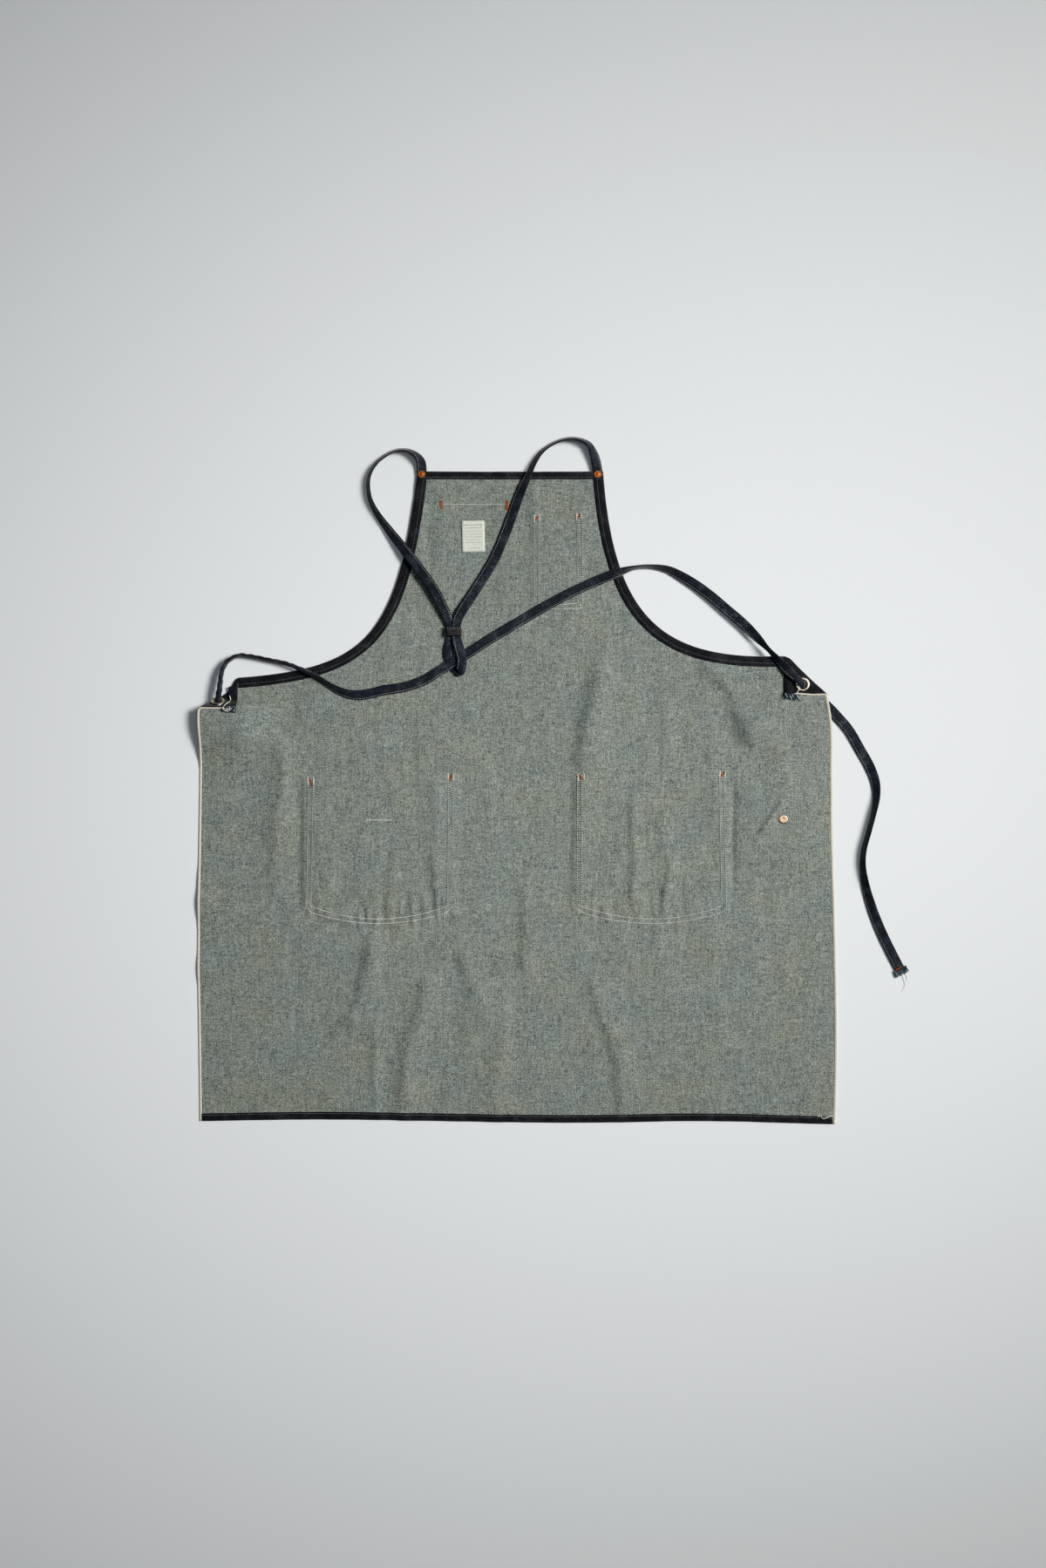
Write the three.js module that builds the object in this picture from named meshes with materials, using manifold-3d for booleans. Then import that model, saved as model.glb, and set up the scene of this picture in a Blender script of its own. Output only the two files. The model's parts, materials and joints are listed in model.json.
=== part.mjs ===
// Denim bib apron lying wrong side up on a flat surface. Millimetres, +Z up, +Y towards the bib.
// Every cloth piece is cut from a layer that follows one height map, so the layers never touch.
import * as THREE from "three";
import { mergeVertices } from "three/addons/utils/BufferGeometryUtils.js";
import Module from "manifold-3d";

const wasm = await Module();
wasm.setup();

// Cloth and tape
const CLOTH = 1.2;
const GAP = 0.3;
const PLY = CLOTH + GAP;
const STACK = CLOTH + PLY;
const BINDING_WIDTH = 11.5;
const HEM_WIDTH = 9.5;
const BIB_HEM_WIDTH = 9.5;
const TAPE_THICKNESS = 2.4;
const OVERSHOOT = 6;
const FAR = 60;

// Outline, clockwise from the lower left corner, seen from above
const LEFT_SIDE = [
  { x: -386, y: -418 },
  { x: -388, y: -230 },
  { x: -388, y: 0 },
  { x: -390.5, y: 66 },
  { x: -389, y: 90 },
];
const LEFT_CORNER = [
  { x: -389, y: 90 },
  { x: -368, y: 105 },
  { x: -353, y: 115.5 },
  { x: -343.3, y: 126 },
];
const LEFT_ARMHOLE = [
  { x: -342.7, y: 126.2 },
  { x: -178, y: 138 },
  { x: -146, y: 180 },
  { x: -123, y: 379 },
];
const RIGHT_ARMHOLE = [
  { x: 105, y: 379 },
  { x: 118, y: 195 },
  { x: 180, y: 148 },
  { x: 326.7, y: 152.3 },
];
const RIGHT_CORNER = [
  { x: 327.3, y: 152.3 },
  { x: 334, y: 149.5 },
  { x: 344, y: 139.5 },
  { x: 380, y: 106 },
];
const RIGHT_SIDE = [
  { x: 380, y: 106 },
  { x: 383, y: 70 },
  { x: 384, y: -60 },
  { x: 388, y: -190 },
  { x: 390, y: -422 },
];
const BOTTOM = [
  { x: 390, y: -422 },
  { x: 235, y: -418 },
  { x: 60, y: -420 },
  { x: -235, y: -416 },
  { x: -386, y: -418 },
];
const CURVE_STEPS = 16;
const EDGE_STEPS = 10;

// Turned corners: the inner edge of each flap and its lower edge
const FLAP_LEFT = { innerX: -343.3, lowerY: 88 };
const FLAP_RIGHT = { innerX: 327.3, lowerY: 105 };
const FLAP_BINDING_WIDTH = 10;

// Pockets on the hidden side: round lower edge that sags below the straight sides
const POCKETS = [
  { name: "hip_pocket_left", left: -261.5, right: -75.5, top: 4, side: -163, sag: 15.5 },
  { name: "hip_pocket_right", left: 73, right: 260.5, top: 6, side: -163, sag: 15.5 },
  { name: "pencil_pocket", left: 17.7, right: 83.2, top: 325, side: 208.5, sag: 1.5 },
];
const LABEL = { x: -53.5, y: 299.5, width: 28, height: 38.5, thickness: 1, turn: 0.02 };

// Metal
const RIVET = { headR: 4.9, headH: 1.7, postR: 1.6, capR: 4.6, capH: 1.2 };
const RIVET_PLACES = [
  { name: "rivet_left", x: -116.6, y: 375.2 },
  { name: "rivet_right", x: 99.2, y: 375.2 },
];
const STUD = { x: 325, y: -46.5, headR: 5.4, headH: 2.2, postR: 1.8, buttonR: 8.5, buttonH: 3.6 };
const EYELET = { holeR: 5, barrelR: 5.8, flangeR: 8.8, flange: 1.1 };
const RIGHT_EYELET = { x: 349.5, y: 117.5 };
const LEFT_EYELET = { x: -366.5, y: 95.6 };

// What holds the cloth up from below: a flat top that fades out on every side
const SUPPORTS = [
  { under: "left hip pocket", x: -168, y: -85, halfX: 120, halfY: 116, height: PLY, fade: 40 },
  { under: "right hip pocket", x: 166, y: -84, halfX: 120, halfY: 116, height: PLY, fade: 40 },
  { under: "pencil pocket", x: 50, y: 268, halfX: 56, halfY: 82, height: PLY, fade: 40 },
  { under: "left rivet", x: -116.6, y: 375, halfX: 30, halfY: 30, height: 3.4, fade: 60 },
  { under: "right rivet", x: 99.2, y: 375, halfX: 30, halfY: 30, height: 3.4, fade: 60 },
  { under: "stud button", x: 325, y: -46, halfX: 28, halfY: 28, height: 4.3, fade: 60 },
  { under: "tie at right corner", x: 356, y: 108, halfX: 42, halfY: 42, height: 6.2, fade: 60 },
];
const BINDING_SEAT = { reach: 42, fade: 42 };

// The left corner stands up: a flat ramp through the eyelet, a crest, and a long slope down
const LEFT_RAMP = { footY: 104, crestY: 88, backY: 76, endY: 10, foot: 1.5, crest: 14 };
const LEFT_RAMP_ENDS = { fullX: -348, endX: -282 };

// Main folds: a ridge along a straight line, with its height and half width
const FOLDS = [
  { x0: 106, y0: 150, x1: 82, y1: 40, height: 5, spread: 19 },
  { x0: 82, y0: 40, x1: 80, y1: -80, height: 4.5, spread: 19 },
  { x0: 232, y0: 128, x1: 292, y1: 40, height: 4, spread: 20 },
  { x0: -98, y0: -14, x1: -98, y1: -150, height: 4, spread: 18 },
  { x0: -288, y0: 52, x1: -282, y1: -84, height: 3.5, spread: 19 },
  { x0: -172, y0: -214, x1: -200, y1: -306, height: 4, spread: 19 },
  { x0: -124, y0: -300, x1: -128, y1: -402, height: 4, spread: 18 },
  { x0: -56, y0: -214, x1: -30, y1: -290, height: 3.5, spread: 19 },
  { x0: -26, y0: -300, x1: -24, y1: -400, height: 3, spread: 18 },
  { x0: 104, y0: -240, x1: 134, y1: -380, height: 3.5, spread: 19 },
  { x0: 150, y0: -20, x1: 148, y1: -140, height: 3, spread: 18 },
];

// Grid of the height map: line spacing by zone, finer round the raised left corner
const GRID_X = [
  { from: -411, to: -327, step: 12 },
  { from: -327, to: 429, step: 28 },
];
const GRID_Y = [
  { from: -440, to: 64, step: 28 },
  { from: 64, to: 128, step: 8 },
  { from: 128, to: 408, step: 28 },
];

// Neck strap from the left rivet to the right one: place, roll about its run, and width
const NECK_ROUTE = [
  { x: -116.6, y: 379.8, z: 4, roll: 0, width: 11 },
  { x: -117.3, y: 389, z: 4.4, roll: 18, width: 11 },
  { x: -122, y: 397.5, z: 5.8, roll: 48, width: 11 },
  { x: -134, y: 404.5, z: 6.6, roll: 68, width: 11 },
  { x: -149, y: 404, z: 6.6, roll: 70, width: 11 },
  { x: -163, y: 396.5, z: 6.6, roll: 70, width: 11 },
  { x: -174.5, y: 385.5, z: 6.6, roll: 70, width: 11 },
  { x: -181, y: 372, z: 6.6, roll: 70, width: 11 },
  { x: -182, y: 357, z: 6.6, roll: 68, width: 11 },
  { x: -178.5, y: 341, z: 6.5, roll: 64, width: 11 },
  { x: -170, y: 325, z: 6.4, roll: 56, width: 11.5 },
  { x: -158.5, y: 309, z: 7, roll: 42, width: 11.5 },
  { x: -146, y: 293, z: 8.4, roll: 26, width: 11.5 },
  { x: -134, y: 278, z: 8, roll: 12, width: 11.5 },
  { x: -121, y: 261, z: 6.4, roll: 8, width: 11.5 },
  { x: -108, y: 243.5, z: 5, roll: 5, width: 11.5 },
  { x: -97.5, y: 226.5, z: 4.8, roll: 0, width: 11.5 },
  { x: -89, y: 209, z: 4.8, roll: 0, width: 11 },
  { x: -83.5, y: 195.5, z: 4.6, roll: 0, width: 10.5 },
  { x: -80.5, y: 182.5, z: 4.2, roll: 0, width: 10 },
  { x: -82, y: 169.5, z: 3.7, roll: 0, width: 10.5 },
  { x: -84, y: 158.5, z: 3.2, roll: 0, width: 11 },
  { x: -81, y: 147, z: 3.1, roll: 0, width: 11 },
  { x: -74.5, y: 137.5, z: 3.2, roll: 0, width: 11 },
  { x: -69, y: 131.3, z: 3.4, roll: 0, width: 11 },
  { x: -67, y: 128.8, z: 6.2, roll: 0, width: 11 },
  { x: -66.2, y: 132.2, z: 9.4, roll: 0, width: 11 },
  { x: -66.3, y: 145, z: 9.8, roll: 0, width: 11 },
  { x: -70, y: 160, z: 8.6, roll: 0, width: 11 },
  { x: -73.2, y: 171.5, z: 7.4, roll: 0, width: 10.5 },
  { x: -74, y: 182.5, z: 7, roll: 0, width: 10 },
  { x: -73, y: 195.5, z: 6.9, roll: 0, width: 10.5 },
  { x: -68, y: 206.5, z: 6.2, roll: 0, width: 11 },
  { x: -57, y: 224, z: 4.4, roll: 0, width: 11.5 },
  { x: -42, y: 247.5, z: 3.6, roll: 0, width: 11.5 },
  { x: -28, y: 271, z: 4, roll: 0, width: 11.5 },
  { x: -16, y: 298, z: 4.6, roll: -4, width: 11.5 },
  { x: -5.5, y: 326, z: 5.6, roll: -12, width: 11.5 },
  { x: 4.5, y: 352.5, z: 8, roll: -28, width: 11.5 },
  { x: 12.5, y: 370, z: 9.6, roll: -44, width: 11 },
  { x: 20.5, y: 388, z: 7.6, roll: -58, width: 11 },
  { x: 31, y: 403, z: 6.6, roll: -68, width: 11 },
  { x: 46, y: 413.5, z: 6.6, roll: -70, width: 11 },
  { x: 62, y: 418.8, z: 6.6, roll: -70, width: 11 },
  { x: 76, y: 418, z: 6.6, roll: -68, width: 11 },
  { x: 88, y: 412.5, z: 6.2, roll: -58, width: 11 },
  { x: 95.3, y: 402, z: 5.4, roll: -38, width: 11 },
  { x: 98.7, y: 390, z: 4.4, roll: -12, width: 11 },
  { x: 99.3, y: 379.8, z: 4, roll: 0, width: 11 },
];

// Band that holds the two legs of the neck strap together
const KEEPER = { x: -77.4, y: 182.5, z: 1.6, width: 20.6, height: 8.2, length: 11, wall: 1, round: 0.9 };

// Waist tie from its hidden tail, up through the left eyelet, to the free end
const TIE_ROUTE = [
  { x: -334, y: 52, z: 1.8, roll: 0, width: 11 },
  { x: -350, y: 68, z: 1.9, roll: 0, width: 11 },
  { x: -361, y: 81, z: 2.4, roll: 0, width: 9 },
  { x: -366, y: 90, z: 4.6, roll: 0, width: 6 },
  { x: -366.5, y: 96.6, z: 10, roll: 0, width: 6 },
  { x: -366.5, y: 103, z: 17, roll: 20, width: 6.5 },
  { x: -366.3, y: 112, z: 20.5, roll: 50, width: 8 },
  { x: -365, y: 122, z: 20, roll: 70, width: 9 },
  { x: -361.5, y: 134, z: 17, roll: 74, width: 9 },
  { x: -354, y: 144.5, z: 14, roll: 76, width: 9 },
  { x: -342, y: 152, z: 11.5, roll: 76, width: 9 },
  { x: -330, y: 153.5, z: 9.4, roll: 76, width: 9 },
  { x: -314.5, y: 151.5, z: 8, roll: 74, width: 9 },
  { x: -300, y: 149, z: 7.6, roll: 72, width: 9 },
  { x: -286, y: 144.3, z: 8.4, roll: 70, width: 9 },
  { x: -270, y: 137.7, z: 9.4, roll: 68, width: 9 },
  { x: -256, y: 132.5, z: 9.6, roll: 66, width: 9 },
  { x: -242, y: 125, z: 8.4, roll: 60, width: 9.5 },
  { x: -228, y: 115.5, z: 8, roll: 48, width: 10 },
  { x: -214, y: 108.5, z: 7, roll: 34, width: 10.5 },
  { x: -200, y: 105, z: 5.8, roll: 20, width: 11 },
  { x: -186, y: 105.3, z: 4.9, roll: 10, width: 11.5 },
  { x: -164, y: 110.5, z: 4, roll: 4, width: 11.5 },
  { x: -139, y: 114.5, z: 3.8, roll: 0, width: 11.5 },
  { x: -114.5, y: 122.5, z: 4.4, roll: 0, width: 11.5 },
  { x: -95, y: 134, z: 6, roll: 0, width: 11 },
  { x: -78, y: 144.5, z: 6.5, roll: 0, width: 11 },
  { x: -59, y: 156, z: 6.1, roll: 0, width: 11 },
  { x: -32.5, y: 173.5, z: 4.4, roll: 0, width: 11.5 },
  { x: 0, y: 193, z: 4.2, roll: 0, width: 11.5 },
  { x: 33, y: 212.5, z: 4.6, roll: 0, width: 11.5 },
  { x: 66, y: 230, z: 5, roll: 0, width: 11.5 },
  { x: 93, y: 242.5, z: 5.6, roll: 6, width: 11.5 },
  { x: 119, y: 252.5, z: 8.8, roll: 30, width: 11.5 },
  { x: 144.5, y: 260.5, z: 8.2, roll: 74, width: 11 },
  { x: 163, y: 262, z: 6.6, roll: 74, width: 11 },
  { x: 184, y: 258.5, z: 5.8, roll: 52, width: 11.5 },
  { x: 200, y: 251, z: 4.6, roll: 34, width: 11.5 },
  { x: 219, y: 239.5, z: 3.4, roll: 18, width: 11.5 },
  { x: 238, y: 225.5, z: 2.2, roll: 4, width: 11.5 },
  { x: 258, y: 208.5, z: 2, roll: 0, width: 11.5 },
  { x: 277, y: 192, z: 2.6, roll: 4, width: 11.5 },
  { x: 293, y: 175.5, z: 6, roll: 14, width: 11 },
  { x: 307, y: 159.5, z: 11, roll: 20, width: 10.5 },
  { x: 318.5, y: 147.5, z: 13.4, roll: 14, width: 10 },
  { x: 332, y: 133.5, z: 13.6, roll: 4, width: 10 },
  { x: 344, y: 122, z: 13, roll: 0, width: 8 },
  { x: 348.9, y: 118, z: 10, roll: 0, width: 6 },
  { x: 349.8, y: 117.3, z: 5.2, roll: 0, width: 6 },
  { x: 352.6, y: 114.8, z: 2.2, roll: 0, width: 7 },
  { x: 362, y: 107, z: 1.8, roll: 0, width: 11 },
  { x: 384, y: 90, z: 1.8, roll: 0, width: 11.5 },
  { x: 394, y: 80.5, z: 1.8, roll: 0, width: 11.5 },
  { x: 407, y: 62, z: 1.8, roll: 0, width: 11.5 },
  { x: 421.5, y: 37, z: 1.8, roll: 4, width: 11.5 },
  { x: 432, y: 18, z: 2.6, roll: 14, width: 11.5 },
  { x: 439, y: -1, z: 4.2, roll: 34, width: 11.5 },
  { x: 440.5, y: -20, z: 5.6, roll: 56, width: 11.5 },
  { x: 437, y: -40, z: 6.2, roll: 68, width: 11.5 },
  { x: 431, y: -63, z: 6.2, roll: 68, width: 11.5 },
  { x: 425, y: -85, z: 5.8, roll: 60, width: 11.5 },
  { x: 423.5, y: -104, z: 5, roll: 48, width: 11.5 },
  { x: 427.5, y: -128, z: 4, roll: 32, width: 11.5 },
  { x: 437, y: -157, z: 3, roll: 18, width: 11.5 },
  { x: 448, y: -185, z: 2.2, roll: 8, width: 11.5 },
  { x: 459, y: -209, z: 1.8, roll: 0, width: 11.5 },
  { x: 470, y: -232, z: 1.8, roll: 0, width: 11.5 },
];
const NECK_STEPS_PER_ROW = 2;
const TIE_STEPS_PER_ROW = 1;

// Materials
const finish = (color, roughness, metalness) => ({ color, roughness, metalness });
const PALE_DENIM = finish(0x7e867f, 0.9, 0);
const DARK_DENIM = finish(0x23262b, 0.88, 0);
const WHITE_COTTON = finish(0xdae2d9, 0.9, 0);
const COPPER = finish(0xa56f5b, 0.35, 1);
const BRASS = finish(0xc9b48a, 0.3, 1);

const vectors = (rows) => rows.map((row) => new THREE.Vector2(row.x, row.y));
const bezier = (rows) => new THREE.CubicBezierCurve(...vectors(rows)).getPoints(CURVE_STEPS);
const spline = (rows) => new THREE.SplineCurve(vectors(rows)).getPoints(EDGE_STEPS);

const leftArmhole = bezier(LEFT_ARMHOLE);
const rightArmhole = bezier(RIGHT_ARMHOLE);
const leftCorner = vectors(LEFT_CORNER);
const rightCorner = vectors(RIGHT_CORNER);
const bottomEdge = spline(BOTTOM);
const bibEdge = [leftArmhole.at(-1), rightArmhole[0]];

function smooth(t) {
  const s = THREE.MathUtils.clamp(t, 0, 1);
  return s * s * (3 - 2 * s);
}

function distanceToSegment(x, y, a, b) {
  const run = new THREE.Vector2(b.x - a.x, b.y - a.y);
  const along = ((x - a.x) * run.x + (y - a.y) * run.y) / run.lengthSq();
  const t = THREE.MathUtils.clamp(along, 0, 1);
  return Math.hypot(x - a.x - t * run.x, y - a.y - t * run.y);
}

function distanceToPath(x, y, path) {
  let nearest = Infinity;
  for (let i = 1; i < path.length; i += 1) {
    nearest = Math.min(nearest, distanceToSegment(x, y, path[i - 1], path[i]));
  }
  return nearest;
}

function supportHeight(x, y, row) {
  const outX = Math.max(Math.abs(x - row.x) - row.halfX, 0);
  const outY = Math.max(Math.abs(y - row.y) - row.halfY, 0);
  return row.height * smooth(1 - Math.hypot(outX, outY) / row.fade);
}

function bindingSeatHeight(x, y) {
  const nearest = Math.min(distanceToPath(x, y, leftArmhole), distanceToPath(x, y, rightArmhole));
  return PLY * smooth(1 - (nearest - BINDING_SEAT.reach) / BINDING_SEAT.fade);
}

function leftCornerHeight(x, y) {
  const ends = LEFT_RAMP_ENDS;
  const across = smooth((x - ends.endX) / (ends.fullX - ends.endX));
  const ramp = (LEFT_RAMP.footY - y) / (LEFT_RAMP.footY - LEFT_RAMP.crestY);
  const rise = THREE.MathUtils.lerp(LEFT_RAMP.foot, LEFT_RAMP.crest, Math.min(ramp, 1));
  const fall = smooth((y - LEFT_RAMP.endY) / (LEFT_RAMP.backY - LEFT_RAMP.endY));
  return Math.max(rise, 0) * fall * across;
}

function foldHeight(x, y, row) {
  const away = distanceToSegment(x, y, { x: row.x0, y: row.y0 }, { x: row.x1, y: row.y1 });
  return row.height * Math.exp(-((away / row.spread) ** 2));
}

// Height of the panel's underside above the surface
function lie(x, y) {
  let height = Math.max(bindingSeatHeight(x, y), leftCornerHeight(x, y));
  for (const row of SUPPORTS) height = Math.max(height, supportHeight(x, y, row));
  for (const row of FOLDS) height += foldHeight(x, y, row);
  return height < 0.05 ? 0 : height;
}

function gridLines(zones) {
  const lines = [zones[0].from];
  for (const zone of zones) {
    for (let at = zone.from + zone.step; at <= zone.to; at += zone.step) lines.push(at);
  }
  return lines;
}

const gridX = gridLines(GRID_X);
const gridY = gridLines(GRID_Y);
const gridHeight = gridX.map((x) => gridY.map((y) => lie(x, y)));

function solidOf(geometry) {
  const bare = geometry.clone();
  for (const extra of ["normal", "uv"]) bare.deleteAttribute(extra);
  const merged = mergeVertices(bare, 1e-4);
  const mesh = new wasm.Mesh({
    numProp: 3,
    vertProperties: Float32Array.from(merged.attributes.position.array),
    triVerts: Uint32Array.from(merged.index.array),
  });
  return new wasm.Manifold(mesh);
}

function geometryOf(solid) {
  const mesh = solid.getMesh();
  const geometry = new THREE.BufferGeometry();
  geometry.setAttribute("position", new THREE.BufferAttribute(mesh.vertProperties.slice(), 3));
  geometry.setIndex(new THREE.BufferAttribute(mesh.triVerts.slice(), 1));
  geometry.computeVertexNormals();
  return geometry;
}

function prism(outline) {
  const shape = new THREE.Shape(outline);
  const geometry = new THREE.ExtrudeGeometry(shape, { depth: 2 * FAR, bevelEnabled: false });
  geometry.translate(0, 0, -FAR);
  return solidOf(geometry);
}

function linesAround(lines, low, high) {
  const first = Math.max(lines.findIndex((at) => at > low) - 1, 0);
  const beyond = lines.findIndex((at) => at >= high);
  const last = beyond < 0 ? lines.length - 1 : beyond;
  return { first, count: last - first + 1 };
}

// Closed slab between two offsets from the height map, over the grid cells round an outline.
// Its top and bottom share one diagonal in each cell, so slabs at other offsets run parallel.
function slab(outline, low, high) {
  const box = new THREE.Box2().setFromPoints(outline);
  const cols = linesAround(gridX, box.min.x - 1, box.max.x + 1);
  const rows = linesAround(gridY, box.min.y - 1, box.max.y + 1);
  const sheet = new THREE.PlaneGeometry(1, 1, cols.count - 1, rows.count - 1);
  const nodes = sheet.attributes.position.count;
  const points = [];
  for (const offset of [high, low]) {
    for (let i = 0; i < nodes; i += 1) {
      const col = cols.first + (i % cols.count);
      const row = rows.first + rows.count - 1 - Math.floor(i / cols.count);
      points.push(gridX[col], gridY[row], gridHeight[col][row] + offset);
    }
  }
  const faces = [...sheet.index.array];
  for (let i = 0; i < sheet.index.count; i += 3) {
    const [a, b, c] = faces.slice(i, i + 3);
    faces.push(nodes + a, nodes + c, nodes + b);
  }
  const rim = sheetRim(cols.count, rows.count);
  rim.forEach((node, i) => {
    const next = rim[(i + 1) % rim.length];
    faces.push(node, node + nodes, next, next, node + nodes, next + nodes);
  });
  const geometry = new THREE.BufferGeometry();
  geometry.setAttribute("position", new THREE.Float32BufferAttribute(points, 3));
  geometry.setIndex(faces);
  return solidOf(geometry);
}

// Border nodes of a sheet whose rows run from its far edge to its near edge, anticlockwise
function sheetRim(cols, rows) {
  const rim = [];
  for (let row = 0; row < rows - 1; row += 1) rim.push(row * cols);
  for (let col = 0; col < cols - 1; col += 1) rim.push((rows - 1) * cols + col);
  for (let row = rows - 1; row > 0; row -= 1) rim.push(row * cols + cols - 1);
  for (let col = cols - 1; col > 0; col -= 1) rim.push(col);
  return rim;
}

const layer = (outline, low, high) => slab(outline, low, high).intersect(prism(outline));

// Path moved to its right-hand side, which is inwards on this outline
function inset(path, distance) {
  return path.map((point, i) => {
    const before = path[Math.max(i - 1, 0)];
    const after = path[Math.min(i + 1, path.length - 1)];
    const run = after.clone().sub(before).normalize();
    return new THREE.Vector2(point.x + run.y * distance, point.y - run.x * distance);
  });
}

// Path carried straight on past both of its ends
function extended(path, by) {
  const first = path[0].clone().sub(path[1]).setLength(by).add(path[0]);
  const last = path.at(-1).clone().sub(path.at(-2)).setLength(by).add(path.at(-1));
  return [first, ...path, last];
}

const strip = (path, near, far) => [...inset(path, near), ...inset(path, far).reverse()];

function surfaceAt(x, y) {
  const col = gridX.findIndex((at) => at > x) - 1;
  const row = gridY.findIndex((at) => at > y) - 1;
  const u = (x - gridX[col]) / (gridX[col + 1] - gridX[col]);
  const v = (y - gridY[row]) / (gridY[row + 1] - gridY[row]);
  const near = THREE.MathUtils.lerp(gridHeight[col][row], gridHeight[col + 1][row], u);
  const far = THREE.MathUtils.lerp(gridHeight[col][row + 1], gridHeight[col + 1][row + 1], u);
  return THREE.MathUtils.lerp(near, far, v);
}

// Turned pieces, their axis along +Z
function turned(profile, segments) {
  const points = profile.map(([radius, height]) => new THREE.Vector2(radius, height));
  return new THREE.LatheGeometry(points, segments).rotateX(Math.PI / 2);
}

function rivetGeometry() {
  const top = STACK + GAP;
  const under = -PLY - GAP;
  return turned([
    [0, under - RIVET.capH],
    [RIVET.capR, under - RIVET.capH],
    [RIVET.capR, under],
    [RIVET.postR, under],
    [RIVET.postR, top],
    [RIVET.headR, top],
    [RIVET.headR * 0.94, top + RIVET.headH * 0.55],
    [RIVET.headR * 0.6, top + RIVET.headH],
    [0, top + RIVET.headH],
  ], 14);
}

function studGeometry() {
  const top = PLY;
  return turned([
    [0, -GAP - STUD.buttonH],
    [STUD.buttonR, -GAP - STUD.buttonH],
    [STUD.buttonR, -GAP - STUD.buttonH * 0.4],
    [STUD.buttonR * 0.5, -GAP],
    [STUD.postR, -GAP],
    [STUD.postR, top],
    [STUD.headR, top],
    [STUD.headR * 0.9, top + STUD.headH * 0.6],
    [STUD.headR * 0.5, top + STUD.headH],
    [0, top + STUD.headH],
  ], 16);
}

// Eyelet whose flanges clamp a stack of the given thickness, starting at its local zero
function eyeletGeometry(grip) {
  const low = -GAP;
  const high = grip + GAP;
  return turned([
    [EYELET.holeR, low - EYELET.flange],
    [EYELET.flangeR, low - EYELET.flange],
    [EYELET.flangeR, low],
    [EYELET.barrelR, low],
    [EYELET.barrelR, high],
    [EYELET.flangeR, high],
    [EYELET.flangeR * 0.95, high + EYELET.flange * 0.6],
    [(EYELET.holeR + EYELET.flangeR) / 2, high + EYELET.flange],
    [EYELET.holeR, high + EYELET.flange * 0.5],
    [EYELET.holeR, low - EYELET.flange],
  ], 20);
}

function postHole(radius, frame) {
  const geometry = new THREE.CylinderGeometry(radius, radius, FAR, 20).rotateX(Math.PI / 2);
  return solidOf(geometry.applyMatrix4(frame));
}

const upright = (x, y) => new THREE.Matrix4().makeTranslation(x, y, surfaceAt(x, y));
const rampAngle = Math.atan2(LEFT_RAMP.crest - LEFT_RAMP.foot, LEFT_RAMP.footY - LEFT_RAMP.crestY);
const leftEyeletFrame = upright(LEFT_EYELET.x, LEFT_EYELET.y)
  .multiply(new THREE.Matrix4().makeRotationX(-rampAngle));
const rightEyeletFrame = upright(RIGHT_EYELET.x, RIGHT_EYELET.y);
const studFrame = upright(STUD.x, STUD.y);
const rivetFrames = RIVET_PLACES.map((place) => upright(place.x, place.y));

const eyeletHoles = [leftEyeletFrame, rightEyeletFrame].map((frame) => postHole(EYELET.barrelR + GAP, frame));
const rivetHoles = rivetFrames.map((frame) => postHole(RIVET.postR + GAP, frame));
const studHole = postHole(STUD.postR + GAP, studFrame);

const cut = (solid, tools) => tools.reduce((rest, tool) => rest.subtract(tool), solid);

function bodyPanel() {
  const outline = [
    ...spline(LEFT_SIDE),
    ...leftCorner.slice(1),
    ...leftArmhole,
    ...rightArmhole,
    ...rightCorner,
    ...spline(RIGHT_SIDE).slice(1),
    ...bottomEdge.slice(1, -1),
  ];
  const leftEdge = [...leftCorner, ...leftArmhole];
  const rightEdge = [...rightArmhole, ...rightCorner];
  const turnedEdges = [leftEdge, bibEdge, rightEdge, bottomEdge];
  const trims = turnedEdges.map((path) => prism(strip(extended(path, OVERSHOOT), -OVERSHOOT, PLY)));
  return cut(layer(outline, 0, CLOTH), [...trims, ...eyeletHoles, ...rivetHoles, studHole]);
}

// Tape folded round an edge: a block with a slot for the cloth
function armholeBinding(path, hole) {
  const block = layer(strip(path, 0, BINDING_WIDTH), -PLY, STACK);
  const slot = layer(strip(extended(path, OVERSHOOT), CLOTH, BINDING_WIDTH + OVERSHOOT), -GAP, PLY);
  return cut(block, [slot, hole]);
}

// Cloth turned once onto the back: a nose at the edge and one layer above the panel
function turnedHem(path, width) {
  const block = layer(strip(path, 0, width), 0, STACK);
  const under = layer(strip(extended(path, OVERSHOOT), CLOTH, width + OVERSHOOT), -PLY, PLY);
  return block.subtract(under);
}

function cornerFlap(path, flap, hole) {
  const ends = [path[0], path.at(-1)];
  const inner = ends.find((point) => Math.abs(point.x - flap.innerX) < 1);
  const outer = ends.find((point) => point !== inner);
  const lower = [new THREE.Vector2(flap.innerX, flap.lowerY), new THREE.Vector2(outer.x, flap.lowerY)];
  const outline = inner === path[0] ? [...path, lower[1], lower[0]] : [...path, lower[0], lower[1]];
  const block = layer(outline, 0, STACK);
  const nose = prism(strip(extended(path, OVERSHOOT), -OVERSHOOT, CLOTH));
  const under = slab(outline, -PLY, PLY).subtract(nose);
  return cut(block, [under, hole]);
}

// End of the armhole tape, turned over with the flap and lying on its inner edge
function flapBinding(flap, towards, topY) {
  const across = flap.innerX + towards * FLAP_BINDING_WIDTH;
  const outline = [
    new THREE.Vector2(flap.innerX, flap.lowerY - 2),
    new THREE.Vector2(flap.innerX, topY),
    new THREE.Vector2(across, topY - 3),
    new THREE.Vector2(across, flap.lowerY - 2),
  ];
  return layer(outline, STACK + GAP, STACK + GAP + CLOTH);
}

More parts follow.
